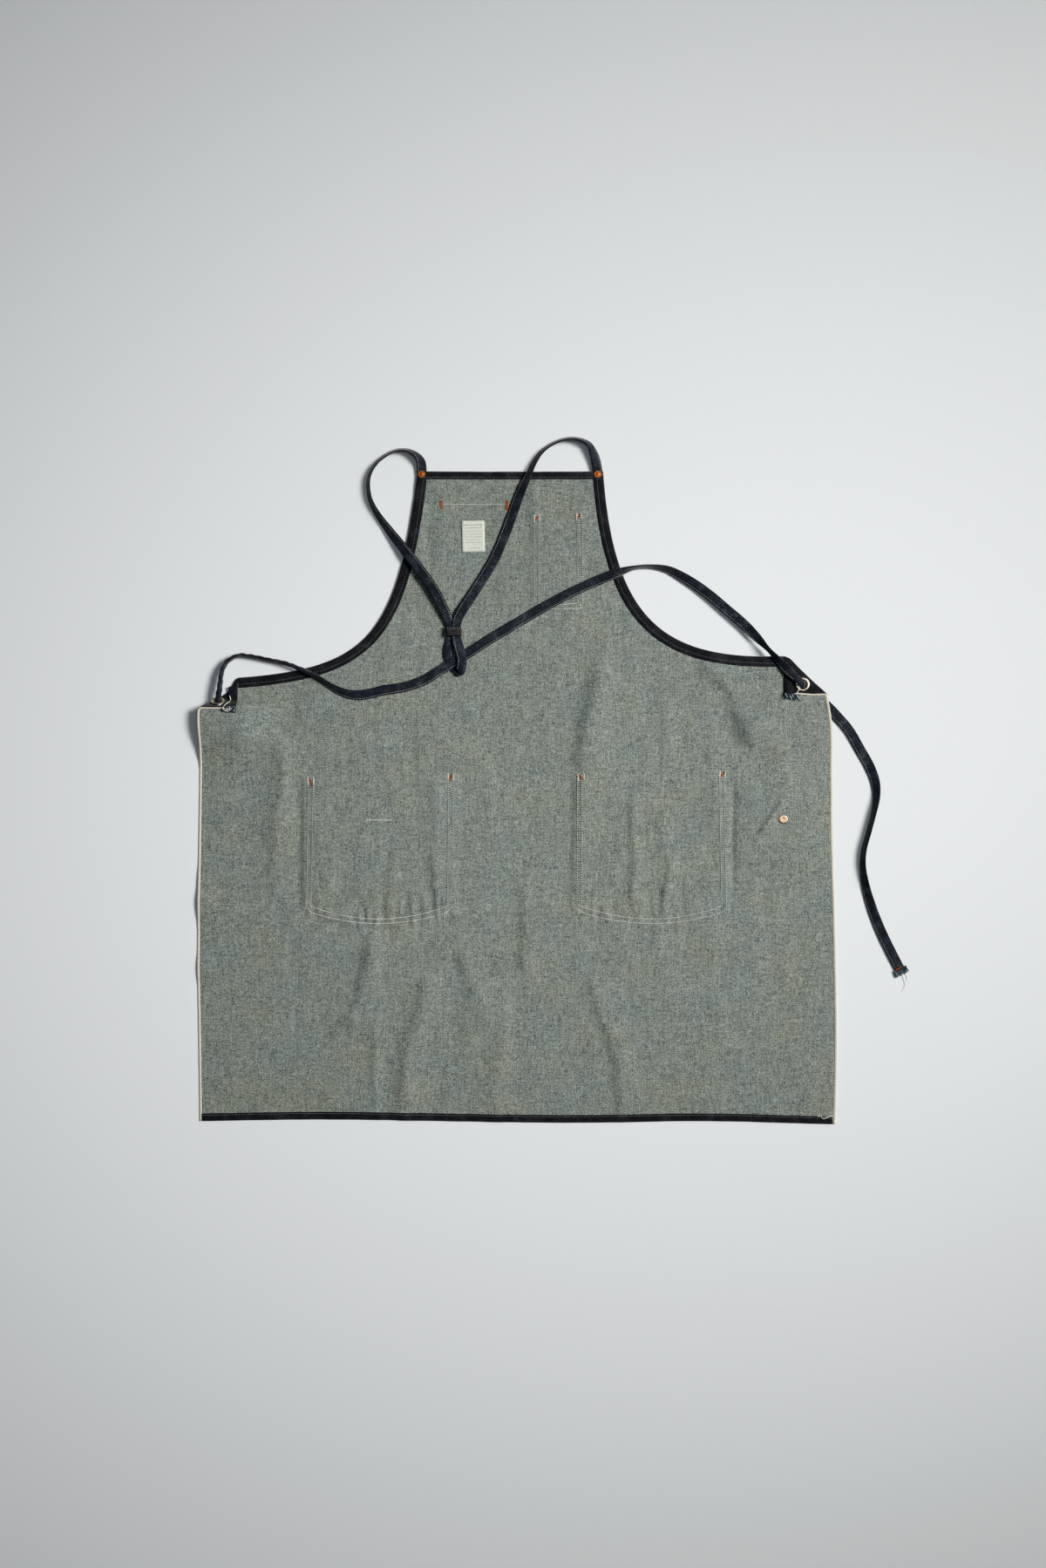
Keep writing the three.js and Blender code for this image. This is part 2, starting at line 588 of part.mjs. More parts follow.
function pocket(row) {
  const middle = (row.left + row.right) / 2;
  const round = new THREE.QuadraticBezierCurve(
    new THREE.Vector2(row.right, row.side),
    new THREE.Vector2(middle, row.side - 2 * row.sag),
    new THREE.Vector2(row.left, row.side),
  );
  const top = [new THREE.Vector2(row.left, row.top), new THREE.Vector2(row.right, row.top)];
  return layer([...top, ...round.getPoints(EDGE_STEPS)], -PLY, -GAP);
}

function labelPatch() {
  const centre = new THREE.Vector2(LABEL.x, LABEL.y);
  const corners = [[-1, -1], [-1, 1], [1, 1], [1, -1]].map(([u, v]) => {
    const corner = new THREE.Vector2(LABEL.x + u * LABEL.width / 2, LABEL.y + v * LABEL.height / 2);
    return corner.rotateAround(centre, LABEL.turn);
  });
  return layer(corners, PLY, PLY + LABEL.thickness);
}

// Flat tape swept along a route; its width keeps level unless the row rolls it about the run
function tape(route, stepsPerRow) {
  const points = route.map((row) => new THREE.Vector3(row.x, row.y, row.z));
  const curve = new THREE.CatmullRomCurve3(points, false, "centripetal");
  const stations = (route.length - 1) * stepsPerRow;
  const half = TAPE_THICKNESS / 2;
  const up = new THREE.Vector3(0, 0, 1);
  const geometry = new THREE.CylinderGeometry(1, 1, 1, 6, stations, false);
  const side = new THREE.Vector3();
  const frames = [];
  for (let i = 0; i <= stations; i += 1) {
    const t = i / stations;
    const run = curve.getTangent(t);
    const level = run.clone().cross(up);
    if (level.length() > 0.35) {
      level.normalize();
      if (level.dot(side) < 0) level.negate();
      side.copy(level);
    } else {
      side.addScaledVector(run, -side.dot(run)).normalize();
    }
    const row = Math.min(Math.floor(i / stepsPerRow), route.length - 2);
    const part = i / stepsPerRow - row;
    const roll = THREE.MathUtils.lerp(route[row].roll, route[row + 1].roll, part);
    const width = THREE.MathUtils.lerp(route[row].width, route[row + 1].width, part);
    const across = side.clone().applyAxisAngle(run, THREE.MathUtils.degToRad(roll));
    frames.push({ centre: curve.getPoint(t), across, through: across.clone().cross(run), width });
  }
  const place = geometry.attributes.position;
  for (let i = 0; i < place.count; i += 1) {
    const frame = frames[Math.round((0.5 - place.getY(i)) * stations)];
    const angle = Math.atan2(place.getX(i), place.getZ(i));
    const onAxis = Math.hypot(place.getX(i), place.getZ(i)) < 0.5;
    const corner = Math.round(angle / (Math.PI / 3));
    const flat = Math.abs(corner) % 3 === 0;
    const reach = flat ? frame.width / 2 : frame.width / 2 - half * 0.6;
    const u = onAxis ? 0 : Math.sign(Math.cos(corner * Math.PI / 3)) * reach;
    const v = onAxis || flat ? 0 : Math.sign(Math.sin(corner * Math.PI / 3)) * half;
    const spot = frame.centre.clone().addScaledVector(frame.across, u).addScaledVector(frame.through, v);
    place.setXYZ(i, spot.x, spot.y, spot.z);
  }
  return geometry;
}

function roundedRectangle(path, width, height, radius) {
  const x = width / 2 - radius;
  const y = height / 2 - radius;
  path.moveTo(x, -y - radius);
  path.absarc(x, -y, radius, -Math.PI / 2, 0);
  path.absarc(x, y, radius, 0, Math.PI / 2);
  path.absarc(-x, y, radius, Math.PI / 2, Math.PI);
  path.absarc(-x, -y, radius, Math.PI, Math.PI * 1.5);
  return path;
}

function strapKeeper() {
  const ring = roundedRectangle(new THREE.Shape(), KEEPER.width, KEEPER.height, KEEPER.round + KEEPER.wall);
  const innerWidth = KEEPER.width - 2 * KEEPER.wall;
  const innerHeight = KEEPER.height - 2 * KEEPER.wall;
  ring.holes.push(roundedRectangle(new THREE.Path(), innerWidth, innerHeight, KEEPER.round));
  const settings = { depth: KEEPER.length, bevelEnabled: false, curveSegments: 4 };
  const geometry = new THREE.ExtrudeGeometry(ring, settings);
  geometry.translate(0, 0, -KEEPER.length / 2).rotateX(Math.PI / 2);
  return geometry.translate(KEEPER.x, KEEPER.y, KEEPER.z + KEEPER.height / 2);
}

const apron = new THREE.Group();
apron.name = "work_apron";

function add(name, geometry, look) {
  const mesh = new THREE.Mesh(geometry, new THREE.MeshStandardMaterial(look));
  mesh.name = name;
  apron.add(mesh);
  return mesh;
}

function addMetal(name, geometry, look, frame) {
  add(name, geometry, look).applyMatrix4(frame);
}

const bibHemPath = [
  new THREE.Vector2(bibEdge[0].x + BINDING_WIDTH + 0.5, bibEdge[0].y),
  new THREE.Vector2(bibEdge[1].x - BINDING_WIDTH - 0.5, bibEdge[1].y),
];

add("body_panel", geometryOf(bodyPanel()), PALE_DENIM);
add("bottom_hem", geometryOf(turnedHem(bottomEdge, HEM_WIDTH)), DARK_DENIM);
add("bib_hem", geometryOf(turnedHem(bibHemPath, BIB_HEM_WIDTH)), DARK_DENIM);
add("armhole_binding_left", geometryOf(armholeBinding(leftArmhole, rivetHoles[0])), DARK_DENIM);
add("armhole_binding_right", geometryOf(armholeBinding(rightArmhole, rivetHoles[1])), DARK_DENIM);
add("corner_flap_left", geometryOf(cornerFlap(leftCorner, FLAP_LEFT, eyeletHoles[0])), DARK_DENIM);
add("corner_flap_right", geometryOf(cornerFlap(rightCorner, FLAP_RIGHT, eyeletHoles[1])), DARK_DENIM);
add("flap_binding_left", geometryOf(flapBinding(FLAP_LEFT, -1, 115)), DARK_DENIM);
add("flap_binding_right", geometryOf(flapBinding(FLAP_RIGHT, 1, 140)), DARK_DENIM);
for (const row of POCKETS) add(row.name, geometryOf(pocket(row)), DARK_DENIM);
add("label_patch", geometryOf(labelPatch()), WHITE_COTTON);
RIVET_PLACES.forEach((place, i) => addMetal(place.name, rivetGeometry(), COPPER, rivetFrames[i]));
addMetal("side_stud", studGeometry(), COPPER, studFrame);
addMetal("eyelet_left", eyeletGeometry(STACK * Math.cos(rampAngle)), BRASS, leftEyeletFrame);
addMetal("eyelet_right", eyeletGeometry(STACK), BRASS, rightEyeletFrame);
add("neck_strap", tape(NECK_ROUTE, NECK_STEPS_PER_ROW), DARK_DENIM);
add("strap_keeper", strapKeeper(), DARK_DENIM);
add("waist_tie", tape(TIE_ROUTE, TIE_STEPS_PER_ROW), DARK_DENIM);

export default apron;
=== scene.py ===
# Denim bib apron lying wrong side up on a pale floor. Metres, +Z up, +Y towards the bib.
import json
import math
import random

import bmesh
import bpy
import numpy as np
from mathutils import Matrix, Vector, noise
from mathutils.bvhtree import BVHTree
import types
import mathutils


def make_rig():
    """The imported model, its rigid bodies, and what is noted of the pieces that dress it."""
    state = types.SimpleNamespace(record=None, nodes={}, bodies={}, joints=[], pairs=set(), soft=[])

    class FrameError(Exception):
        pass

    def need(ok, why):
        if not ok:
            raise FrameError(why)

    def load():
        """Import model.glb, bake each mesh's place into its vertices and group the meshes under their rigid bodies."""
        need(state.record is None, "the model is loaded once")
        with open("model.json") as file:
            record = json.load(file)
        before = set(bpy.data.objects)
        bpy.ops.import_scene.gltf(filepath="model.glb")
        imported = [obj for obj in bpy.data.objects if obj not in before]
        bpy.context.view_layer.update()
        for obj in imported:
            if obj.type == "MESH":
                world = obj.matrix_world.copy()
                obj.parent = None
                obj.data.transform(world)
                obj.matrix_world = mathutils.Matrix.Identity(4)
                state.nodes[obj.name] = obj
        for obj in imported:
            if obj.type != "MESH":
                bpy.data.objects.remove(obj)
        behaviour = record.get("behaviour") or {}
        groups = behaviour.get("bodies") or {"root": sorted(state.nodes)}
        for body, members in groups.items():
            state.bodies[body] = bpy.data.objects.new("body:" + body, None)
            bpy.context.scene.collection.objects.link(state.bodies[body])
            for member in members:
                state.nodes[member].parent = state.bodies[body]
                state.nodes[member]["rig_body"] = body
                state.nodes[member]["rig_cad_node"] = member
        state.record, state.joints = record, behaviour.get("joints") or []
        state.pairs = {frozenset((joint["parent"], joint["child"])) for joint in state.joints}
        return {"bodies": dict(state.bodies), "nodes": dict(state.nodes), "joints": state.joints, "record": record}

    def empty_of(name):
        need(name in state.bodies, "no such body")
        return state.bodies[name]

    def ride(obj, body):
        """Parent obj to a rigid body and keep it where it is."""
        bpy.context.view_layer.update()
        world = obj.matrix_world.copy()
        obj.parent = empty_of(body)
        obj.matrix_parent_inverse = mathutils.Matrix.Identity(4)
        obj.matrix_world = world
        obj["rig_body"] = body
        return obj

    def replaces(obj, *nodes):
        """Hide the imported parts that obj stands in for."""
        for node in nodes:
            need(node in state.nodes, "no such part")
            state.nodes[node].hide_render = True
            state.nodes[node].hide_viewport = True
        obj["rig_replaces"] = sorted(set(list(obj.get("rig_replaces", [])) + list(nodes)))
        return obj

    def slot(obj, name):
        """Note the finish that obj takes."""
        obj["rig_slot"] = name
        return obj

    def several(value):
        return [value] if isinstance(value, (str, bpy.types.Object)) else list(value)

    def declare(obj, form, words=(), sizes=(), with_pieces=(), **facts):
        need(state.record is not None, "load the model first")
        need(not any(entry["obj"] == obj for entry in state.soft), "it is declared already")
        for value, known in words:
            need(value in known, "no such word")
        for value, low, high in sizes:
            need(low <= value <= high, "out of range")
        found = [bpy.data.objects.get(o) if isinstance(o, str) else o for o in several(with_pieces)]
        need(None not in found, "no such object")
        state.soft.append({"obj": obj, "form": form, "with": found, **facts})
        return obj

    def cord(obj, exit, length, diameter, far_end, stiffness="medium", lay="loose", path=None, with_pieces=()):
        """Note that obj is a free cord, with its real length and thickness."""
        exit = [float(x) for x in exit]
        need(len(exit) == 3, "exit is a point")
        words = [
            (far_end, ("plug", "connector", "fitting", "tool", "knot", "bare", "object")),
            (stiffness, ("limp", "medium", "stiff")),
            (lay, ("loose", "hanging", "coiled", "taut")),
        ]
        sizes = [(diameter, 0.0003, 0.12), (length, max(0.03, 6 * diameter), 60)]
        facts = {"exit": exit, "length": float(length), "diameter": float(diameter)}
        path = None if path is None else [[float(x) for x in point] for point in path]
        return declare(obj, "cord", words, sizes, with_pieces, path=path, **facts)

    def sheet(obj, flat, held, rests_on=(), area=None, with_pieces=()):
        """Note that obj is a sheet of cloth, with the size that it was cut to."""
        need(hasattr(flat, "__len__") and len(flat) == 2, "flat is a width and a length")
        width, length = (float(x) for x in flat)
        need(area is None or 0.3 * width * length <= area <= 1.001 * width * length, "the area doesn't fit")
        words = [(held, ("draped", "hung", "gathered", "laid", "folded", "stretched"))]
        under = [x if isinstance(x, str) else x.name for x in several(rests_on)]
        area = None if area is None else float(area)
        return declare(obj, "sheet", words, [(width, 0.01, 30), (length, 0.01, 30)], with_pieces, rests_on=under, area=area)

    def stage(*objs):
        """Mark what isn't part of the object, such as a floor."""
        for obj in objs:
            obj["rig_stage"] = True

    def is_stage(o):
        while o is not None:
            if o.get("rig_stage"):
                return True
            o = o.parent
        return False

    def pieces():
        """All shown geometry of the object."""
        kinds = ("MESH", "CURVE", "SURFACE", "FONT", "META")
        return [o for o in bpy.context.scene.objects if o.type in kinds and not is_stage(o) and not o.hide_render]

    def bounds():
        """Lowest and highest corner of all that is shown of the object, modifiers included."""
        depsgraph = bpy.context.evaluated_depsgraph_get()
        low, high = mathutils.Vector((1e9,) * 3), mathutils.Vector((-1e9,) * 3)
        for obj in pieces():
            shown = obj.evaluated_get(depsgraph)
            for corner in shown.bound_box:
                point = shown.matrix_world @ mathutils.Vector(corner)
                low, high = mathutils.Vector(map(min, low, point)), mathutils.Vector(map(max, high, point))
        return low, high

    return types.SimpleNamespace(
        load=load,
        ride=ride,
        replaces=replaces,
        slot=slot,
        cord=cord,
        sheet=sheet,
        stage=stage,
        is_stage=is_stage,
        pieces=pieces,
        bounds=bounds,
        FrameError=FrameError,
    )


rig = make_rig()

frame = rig.load()
cad_box = [list(corner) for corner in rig.bounds()]

MM = 0.001
UP = Vector((0, 0, 1))

# Camera straight above: the picture is 1200 by 1799 pixels of 1.07 mm each on the floor
PIXEL = 1.07 * MM
IMAGE_HEIGHT = 1799
LENS = 50
SENSOR_HEIGHT = 36
CAMERA_X = 7.5 * MM
CAMERA_Y = -4.3 * MM

# Cloth and tape
CLOTH = 1.0 * MM
GAP = 0.15 * MM
PLY = CLOTH + GAP
STACK = CLOTH + PLY
BINDING_WIDTH = 12.6 * MM
HEM_WIDTH = 9.5 * MM
TAPE_THICKNESS = 2.4 * MM

# Outline of the panel, clockwise from the lower left corner, seen from above: x, y
LEFT_SIDE = [
    (-0.3892, -0.418), (-0.3908, -0.300), (-0.3920, -0.220), (-0.3908, -0.100), (-0.3895, -0.010),
    (-0.3890, 0.045), (-0.3897, 0.062), (-0.3900, 0.081), (-0.3888, 0.0888),
]
LEFT_CORNER = [
    (-0.3888, 0.0888), (-0.3710, 0.0978), (-0.3580, 0.1060), (-0.3525, 0.1108), (-0.3495, 0.1160),
    (-0.3462, 0.1218), (-0.3425, 0.1258),
]
LEFT_ARMHOLE = [(-0.3417, 0.1262), (-0.178, 0.138), (-0.146, 0.180), (-0.1218, 0.379)]
RIGHT_ARMHOLE = [(0.1058, 0.379), (0.119, 0.195), (0.180, 0.148), (0.3267, 0.1523)]
RIGHT_CORNER = [(0.3273, 0.1523), (0.334, 0.1495), (0.344, 0.1395), (0.362, 0.1222), (0.380, 0.106)]
RIGHT_SIDE = [
    (0.380, 0.106), (0.3853, 0.072), (0.3872, 0.0), (0.3874, -0.060), (0.3900, -0.150), (0.3915, -0.210),
    (0.3930, -0.300), (0.3928, -0.345), (0.3918, -0.390), (0.3910, -0.422),
]
BOTTOM = [(0.3868, -0.422), (0.235, -0.418), (0.060, -0.420), (-0.235, -0.416), (-0.3862, -0.418)]
BIB_TOP = 0.379
FLAP_LEFT = {"inner": -0.3433, "lower": 0.088}
FLAP_RIGHT = {"inner": 0.3273, "lower": 0.105}
FLAP_BINDING_WIDTH = 10 * MM

# Pockets on the hidden side: edges, height of the sides' lower ends, how far the round edge sags below them,
# how far each side's upper end leans to the right, and how much of the corners the outer sewing cuts off
POCKET_COLUMNS = ("name", "left", "right", "top", "side", "sag", "leans", "corner")
POCKET_ROWS = [
    ("hip_pocket_left", -0.2615, -0.0767, 0.004, -0.163, 0.0155, (0.0030, 0.0017), 0.0055),
    ("hip_pocket_right", 0.0701, 0.2597, 0.006, -0.163, 0.0155, (0.0007, -0.0030), 0.0040),
    ("pencil_pocket", 0.0177, 0.0832, 0.325, 0.2085, 0.0015, (0, 0), 0.0005),
]
POCKETS = [dict(zip(POCKET_COLUMNS, row)) for row in POCKET_ROWS]
LABEL = {"x": -0.0535, "y": 0.2995, "width": 0.028, "height": 0.0385, "turn": 0.02}

# Metal
LEFT_RIVET = (-0.1166, 0.3752)
RIGHT_RIVET = (0.0992, 0.3752)
STUD_PLACE = (0.3262, -0.0473)
RIGHT_EYELET = (0.3495, 0.1175)
LEFT_EYELET = (-0.3652, 0.0945)
EYELET_HOLE = 5 * MM
EYELET_BARREL = 5.8 * MM
EYELET_RIM = 7.8 * MM

# What holds the cloth up from below, a flat top that fades out: x, y, half x, half y, height, fade
SUPPORTS = [
    (-0.168, -0.085, 0.120, 0.116, PLY, 0.040),
    (0.166, -0.084, 0.120, 0.116, PLY, 0.040),
    (0.050, 0.268, 0.056, 0.082, PLY, 0.040),
    (-0.1166, 0.375, 0.008, 0.008, 0.0024, 0.030),
    (0.0992, 0.375, 0.008, 0.008, 0.0024, 0.030),
    (0.325, -0.046, 0.028, 0.028, 0.0043, 0.060),
    (0.356, 0.108, 0.042, 0.042, 0.0062, 0.060),
]
BINDING_SEAT = {"reach": 0.042, "fade": 0.042}

# The left corner stands up: a flat ramp through the eyelet, a crest, and a long slope down
LEFT_RAMP = {"foot_y": 0.0995, "crest_y": 0.0905, "back_y": 0.076, "end_y": 0.010, "foot": 0.0015,
             "crest": 0.0165}
LEFT_RAMP_ENDS = {"full_x": -0.348, "end_x": -0.282}

# Places where the left edge lifts off the floor: y, half length, height
EDGE_LIFTS = [(-0.149, 0.020, 0.0045), (-0.230, 0.014, 0.0022), (-0.118, 0.012, 0.0015)]
EDGE_LIFT_REACH = 0.034
EDGE_CALM = 0.045

# Folds in millimetres, each a ridge or, below zero, a groove along a line drawn from its upper end: height,
# half width on its left, half width on its right, points
FOLDS = [
    (5.5, 13, 26, [(107, 160), (102, 125), (97, 100), (90, 75), (84, 40), (81, 5)]),
    (2.1, 9, 24, [(82, 36), (80, -30), (80, -95)]),
    (4.5, 10, 24, [(218, 154), (236, 136), (252, 124), (266, 110), (271, 84), (286, 54), (300, 30)]),
    (1.1, 6, 9, [(152, 104), (141, 80), (135, 52)]),
    (1.1, 7, 10, [(181, 108), (183, 30)]),
    (1.6, 14, 9, [(316, 72), (324, 30), (332, 0), (338, -30)]),
    (2.5, 3, 8, [(328, -22), (312, -44), (296, -66)]),
    (1.6, 3, 6, [(316, -50), (300, -62), (290, -80)]),
    (2.4, 5, 12, [(141, -4), (142, -60), (146, -100), (141, -138), (148, -174)]),
    (2.2, 4, 9, [(190, -86), (186, -120), (180, -145), (176, -176)]),
    (1.0, 10, 10, [(180, -20), (179, -104)]),
    (0.8, 4, 5, [(246, 16), (244, -20), (241, -58)]),
    (-1.9, 3, 4, [(266, 6), (264, -50), (264, -134)]),
    (2.4, 16, 16, [(-290, 64), (-286, -10), (-288, -96)]),
    (2.1, 11, 14, [(-99, 10), (-98, -30), (-101, -88)]),
    (2.1, 5, 11, [(-105, -76), (-101, -105), (-100, -135), (-98, -174)]),
    (1.6, 6, 9, [(-146, -62), (-151, -105), (-156, -135), (-160, -174)]),
    (1.0, 4, 5, [(-130, -128), (-132, -150), (-134, -174)]),
    (0.8, 6, 7, [(-191, -90), (-192, -115), (-195, -148)]),
    (1.1, 6, 9, [(-221, -92), (-231, -112), (-236, -142)]),
    (-1.9, 7, 7, [(-271, 120), (-279, 90), (-279, 70), (-281, 42)]),
    (1.1, 6, 6, [(-287, 48), (-286, 10), (-287, -32)]),
    (1.8, 8, 8, [(-294, -22), (-296, -70), (-297, -115), (-294, -154)]),
    (-1.6, 8, 5, [(-268, 2), (-267, -60), (-267, -110), (-270, -166)]),
    (-2.0, 6, 8, [(-137, 124), (-135, 65), (-133, 4)]),
    (1.1, 12, 7, [(-334, 80), (-350, 62), (-370, 44)]),
    (3.8, 9, 22, [(-176, -184), (-179, -215), (-186, -243), (-191, -265), (-199, -290), (-208, -316)]),
    (1.1, 7, 10, [(-202, -282), (-218, -305), (-229, -328)]),
    (1.1, 6, 7, [(-177, -178), (-177, -205), (-178, -238)]),
    (2.0, 7, 10, [(-168, -282), (-172, -330), (-174, -362), (-170, -430)]),
    (3.8, 10, 20, [(-105, -222), (-112, -262), (-118, -287), (-128, -315), (-134, -345), (-138, -380),
                   (-139, -440)]),
    (2.9, 8, 15, [(-71, -192), (-63, -226), (-56, -248), (-47, -270), (-33, -314)]),
    (1.6, 12, 13, [(-63, -258), (-57, -300), (-56, -350)]),
    (2.1, 12, 12, [(-11, -250), (-19, -310), (-24, -360), (-24, -440)]),
    (2.3, 5, 20, [(-1, -105), (6, -132), (10, -160), (9, -200), (8, -250)]),
    (-1.1, 5, 5, [(5, -230), (14, -250), (25, -275)]),
    (-1.3, 9, 6, [(3, -244), (3, -300), (4, -345), (6, -390)]),
    (-1.1, 5, 5, [(-280, -182), (-272, -240), (-270, -300), (-273, -350)]),
    (3.1, 9, 18, [(85, -216), (93, -245), (103, -282), (114, -306), (124, -338), (130, -380), (131, -440)]),
    (1.1, 6, 8, [(171, -170), (172, -208)]),
    (1.1, 6, 8, [(125, -192), (139, -228)]),
    (-1.1, 7, 6, [(219, -252), (230, -275), (243, -303)]),
    (0.8, 6, 7, [(266, -176), (268, -230), (267, -296)]),
    (-1.3, 6, 5, [(-102, 358), (-110, 312), (-107, 285), (-107, 244)]),
    (1.6, 6, 8, [(23, 376), (22, 345), (21, 314)]),
    (0.8, 6, 7, [(-131, 236), (-132, 150)]),
]
FOLD_FADE = 0.2

# Short gathers in millimetres, where the cloth is drawn into the pockets' round seams: x, upper y, lower y,
# depth. Their right flanks are the steep ones
GATHERS = [
    (-190, -146, -172, 1.3), (-164, -136, -178, 1.5), (-148, -142, -178, 1.3), (-134, -132, -178, 1.7),
    (-120, -138, -176, 1.7), (-103, -130, -172, 1.9), (119, -144, -172, 1.5), (164, -136, -180, 1.5),
    (175, -126, -180, 1.9), (188, -142, -178, 1.3), (202, -130, -172, 1.6),
]
GATHER_WIDTHS = (6.0, 2.8)
GATHER_LEAN = 2
for x, upper, lower, depth in GATHERS:
    FOLDS.append((-depth, *GATHER_WIDTHS, [(x, upper), (x + GATHER_LEAN, lower)]))

# Unevenness of the cloth in millimetres: height, size of its lumps along X and along Y, seed
WAVES = [(0.8, 28, 75, 1), (0.35, 13, 32, 5)]
WAVE_LIFT = 0.48 * MM

# The same for the gathers at the pockets' sides, at their round seams and at the lower hem, and their reach
PUCKERS = [(0.45, 16, 4.5, 9), (2.1, 6.5, 22, 13), (0.7, 6, 30, 17)]
PUCKER_REACHES = (8 * MM, 14 * MM, 12 * MM)

# Two rows of sewing round each pocket, the line between them, and the points on a round edge
SEAM_INSETS = (3.2 * MM, 8.8 * MM)
SEAM_MIDDLE = 6 * MM
ARC_POINTS = 60

# Relief of the cloth over a pocket: height of the step, how far its left side lies outside the pocket, the
# run of each side, and the least room below the cloth
POCKET_STEP = 1.1 * MM
LEFT_STEP_SHIFT = 2 * MM
STEP_RUNS = {"left": 5 * MM, "right": 14 * MM, "lower": 7 * MM, "top": 14 * MM}
FLOOR_GAP = 0.05 * MM

# Neck strap from the left rivet to the right one: x, y, z, roll about its run in degrees, width
NECK_ROUTE = [
    (-0.1166, 0.3760, 0.0034, 0, 0.0120),
    (-0.1173, 0.3890, 0.0044, 18, 0.0120),
    (-0.1220, 0.3975, 0.0058, 48, 0.0120),
    (-0.1340, 0.4045, 0.0066, 68, 0.0120),
    (-0.1490, 0.4040, 0.0066, 70, 0.0120),
    (-0.1630, 0.3965, 0.0066, 70, 0.0120),
    (-0.1745, 0.3855, 0.0066, 70, 0.0120),
    (-0.1810, 0.3720, 0.0066, 70, 0.0120),
    (-0.1820, 0.3570, 0.0066, 68, 0.0120),
    (-0.1785, 0.3410, 0.0065, 64, 0.0120),
    (-0.1700, 0.3250, 0.0064, 56, 0.0125),
    (-0.1585, 0.3090, 0.0070, 42, 0.0125),
    (-0.1460, 0.2930, 0.0084, 26, 0.0125),
    (-0.1340, 0.2780, 0.0104, 12, 0.0125),
    (-0.1210, 0.2610, 0.0108, 8, 0.0125),
    (-0.1080, 0.2435, 0.0106, 5, 0.0125),
    (-0.0975, 0.2265, 0.0096, 0, 0.0125),
    (-0.0890, 0.2090, 0.0078, 0, 0.0120),
    (-0.0832, 0.1955, 0.0058, 0, 0.0115),
    (-0.0797, 0.1825, 0.0044, 0, 0.0105),
    (-0.0820, 0.1695, 0.0037, 0, 0.0115),
    (-0.0843, 0.1585, 0.0032, 0, 0.0120),
    (-0.0828, 0.1490, 0.0031, 0, 0.0120),
    (-0.0780, 0.1405, 0.0032, 0, 0.0120),
    (-0.0728, 0.1352, 0.0034, 0, 0.0120),
    (-0.0703, 0.1333, 0.0062, 0, 0.0120),
    (-0.0686, 0.1362, 0.0094, 0, 0.0120),
    (-0.0672, 0.1470, 0.0098, 0, 0.0120),
    (-0.0700, 0.1600, 0.0086, 0, 0.0120),
    (-0.0732, 0.1715, 0.0074, 0, 0.0115),
    (-0.0746, 0.1825, 0.0070, 0, 0.0105),
    (-0.0730, 0.1955, 0.0069, 0, 0.0115),
    (-0.0680, 0.2065, 0.0062, 0, 0.0120),
    (-0.0570, 0.2240, 0.0044, 0, 0.0125),
    (-0.0420, 0.2475, 0.0036, 0, 0.0125),
    (-0.0280, 0.2710, 0.0040, 0, 0.0125),
    (-0.0160, 0.2980, 0.0046, -4, 0.0125),
    (-0.0055, 0.3260, 0.0056, -12, 0.0125),
    (0.0045, 0.3525, 0.0080, -28, 0.0125),
    (0.0125, 0.3700, 0.0096, -44, 0.0120),
    (0.0205, 0.3880, 0.0076, -58, 0.0120),
    (0.0310, 0.4030, 0.0066, -68, 0.0120),
    (0.0460, 0.4135, 0.0066, -70, 0.0120),
    (0.0620, 0.4188, 0.0066, -70, 0.0120),
    (0.0760, 0.4180, 0.0066, -68, 0.0120),
    (0.0880, 0.4125, 0.0062, -58, 0.0120),
    (0.0938, 0.4020, 0.0054, -38, 0.0120),
    (0.0972, 0.3900, 0.0044, -12, 0.0120),
    (0.0993, 0.3760, 0.0034, 0, 0.0120),
]
KEEPER = {"x": -0.0774, "y": 0.1825, "z": 0.0016, "width": 0.0186, "height": 0.0082, "length": 0.011}

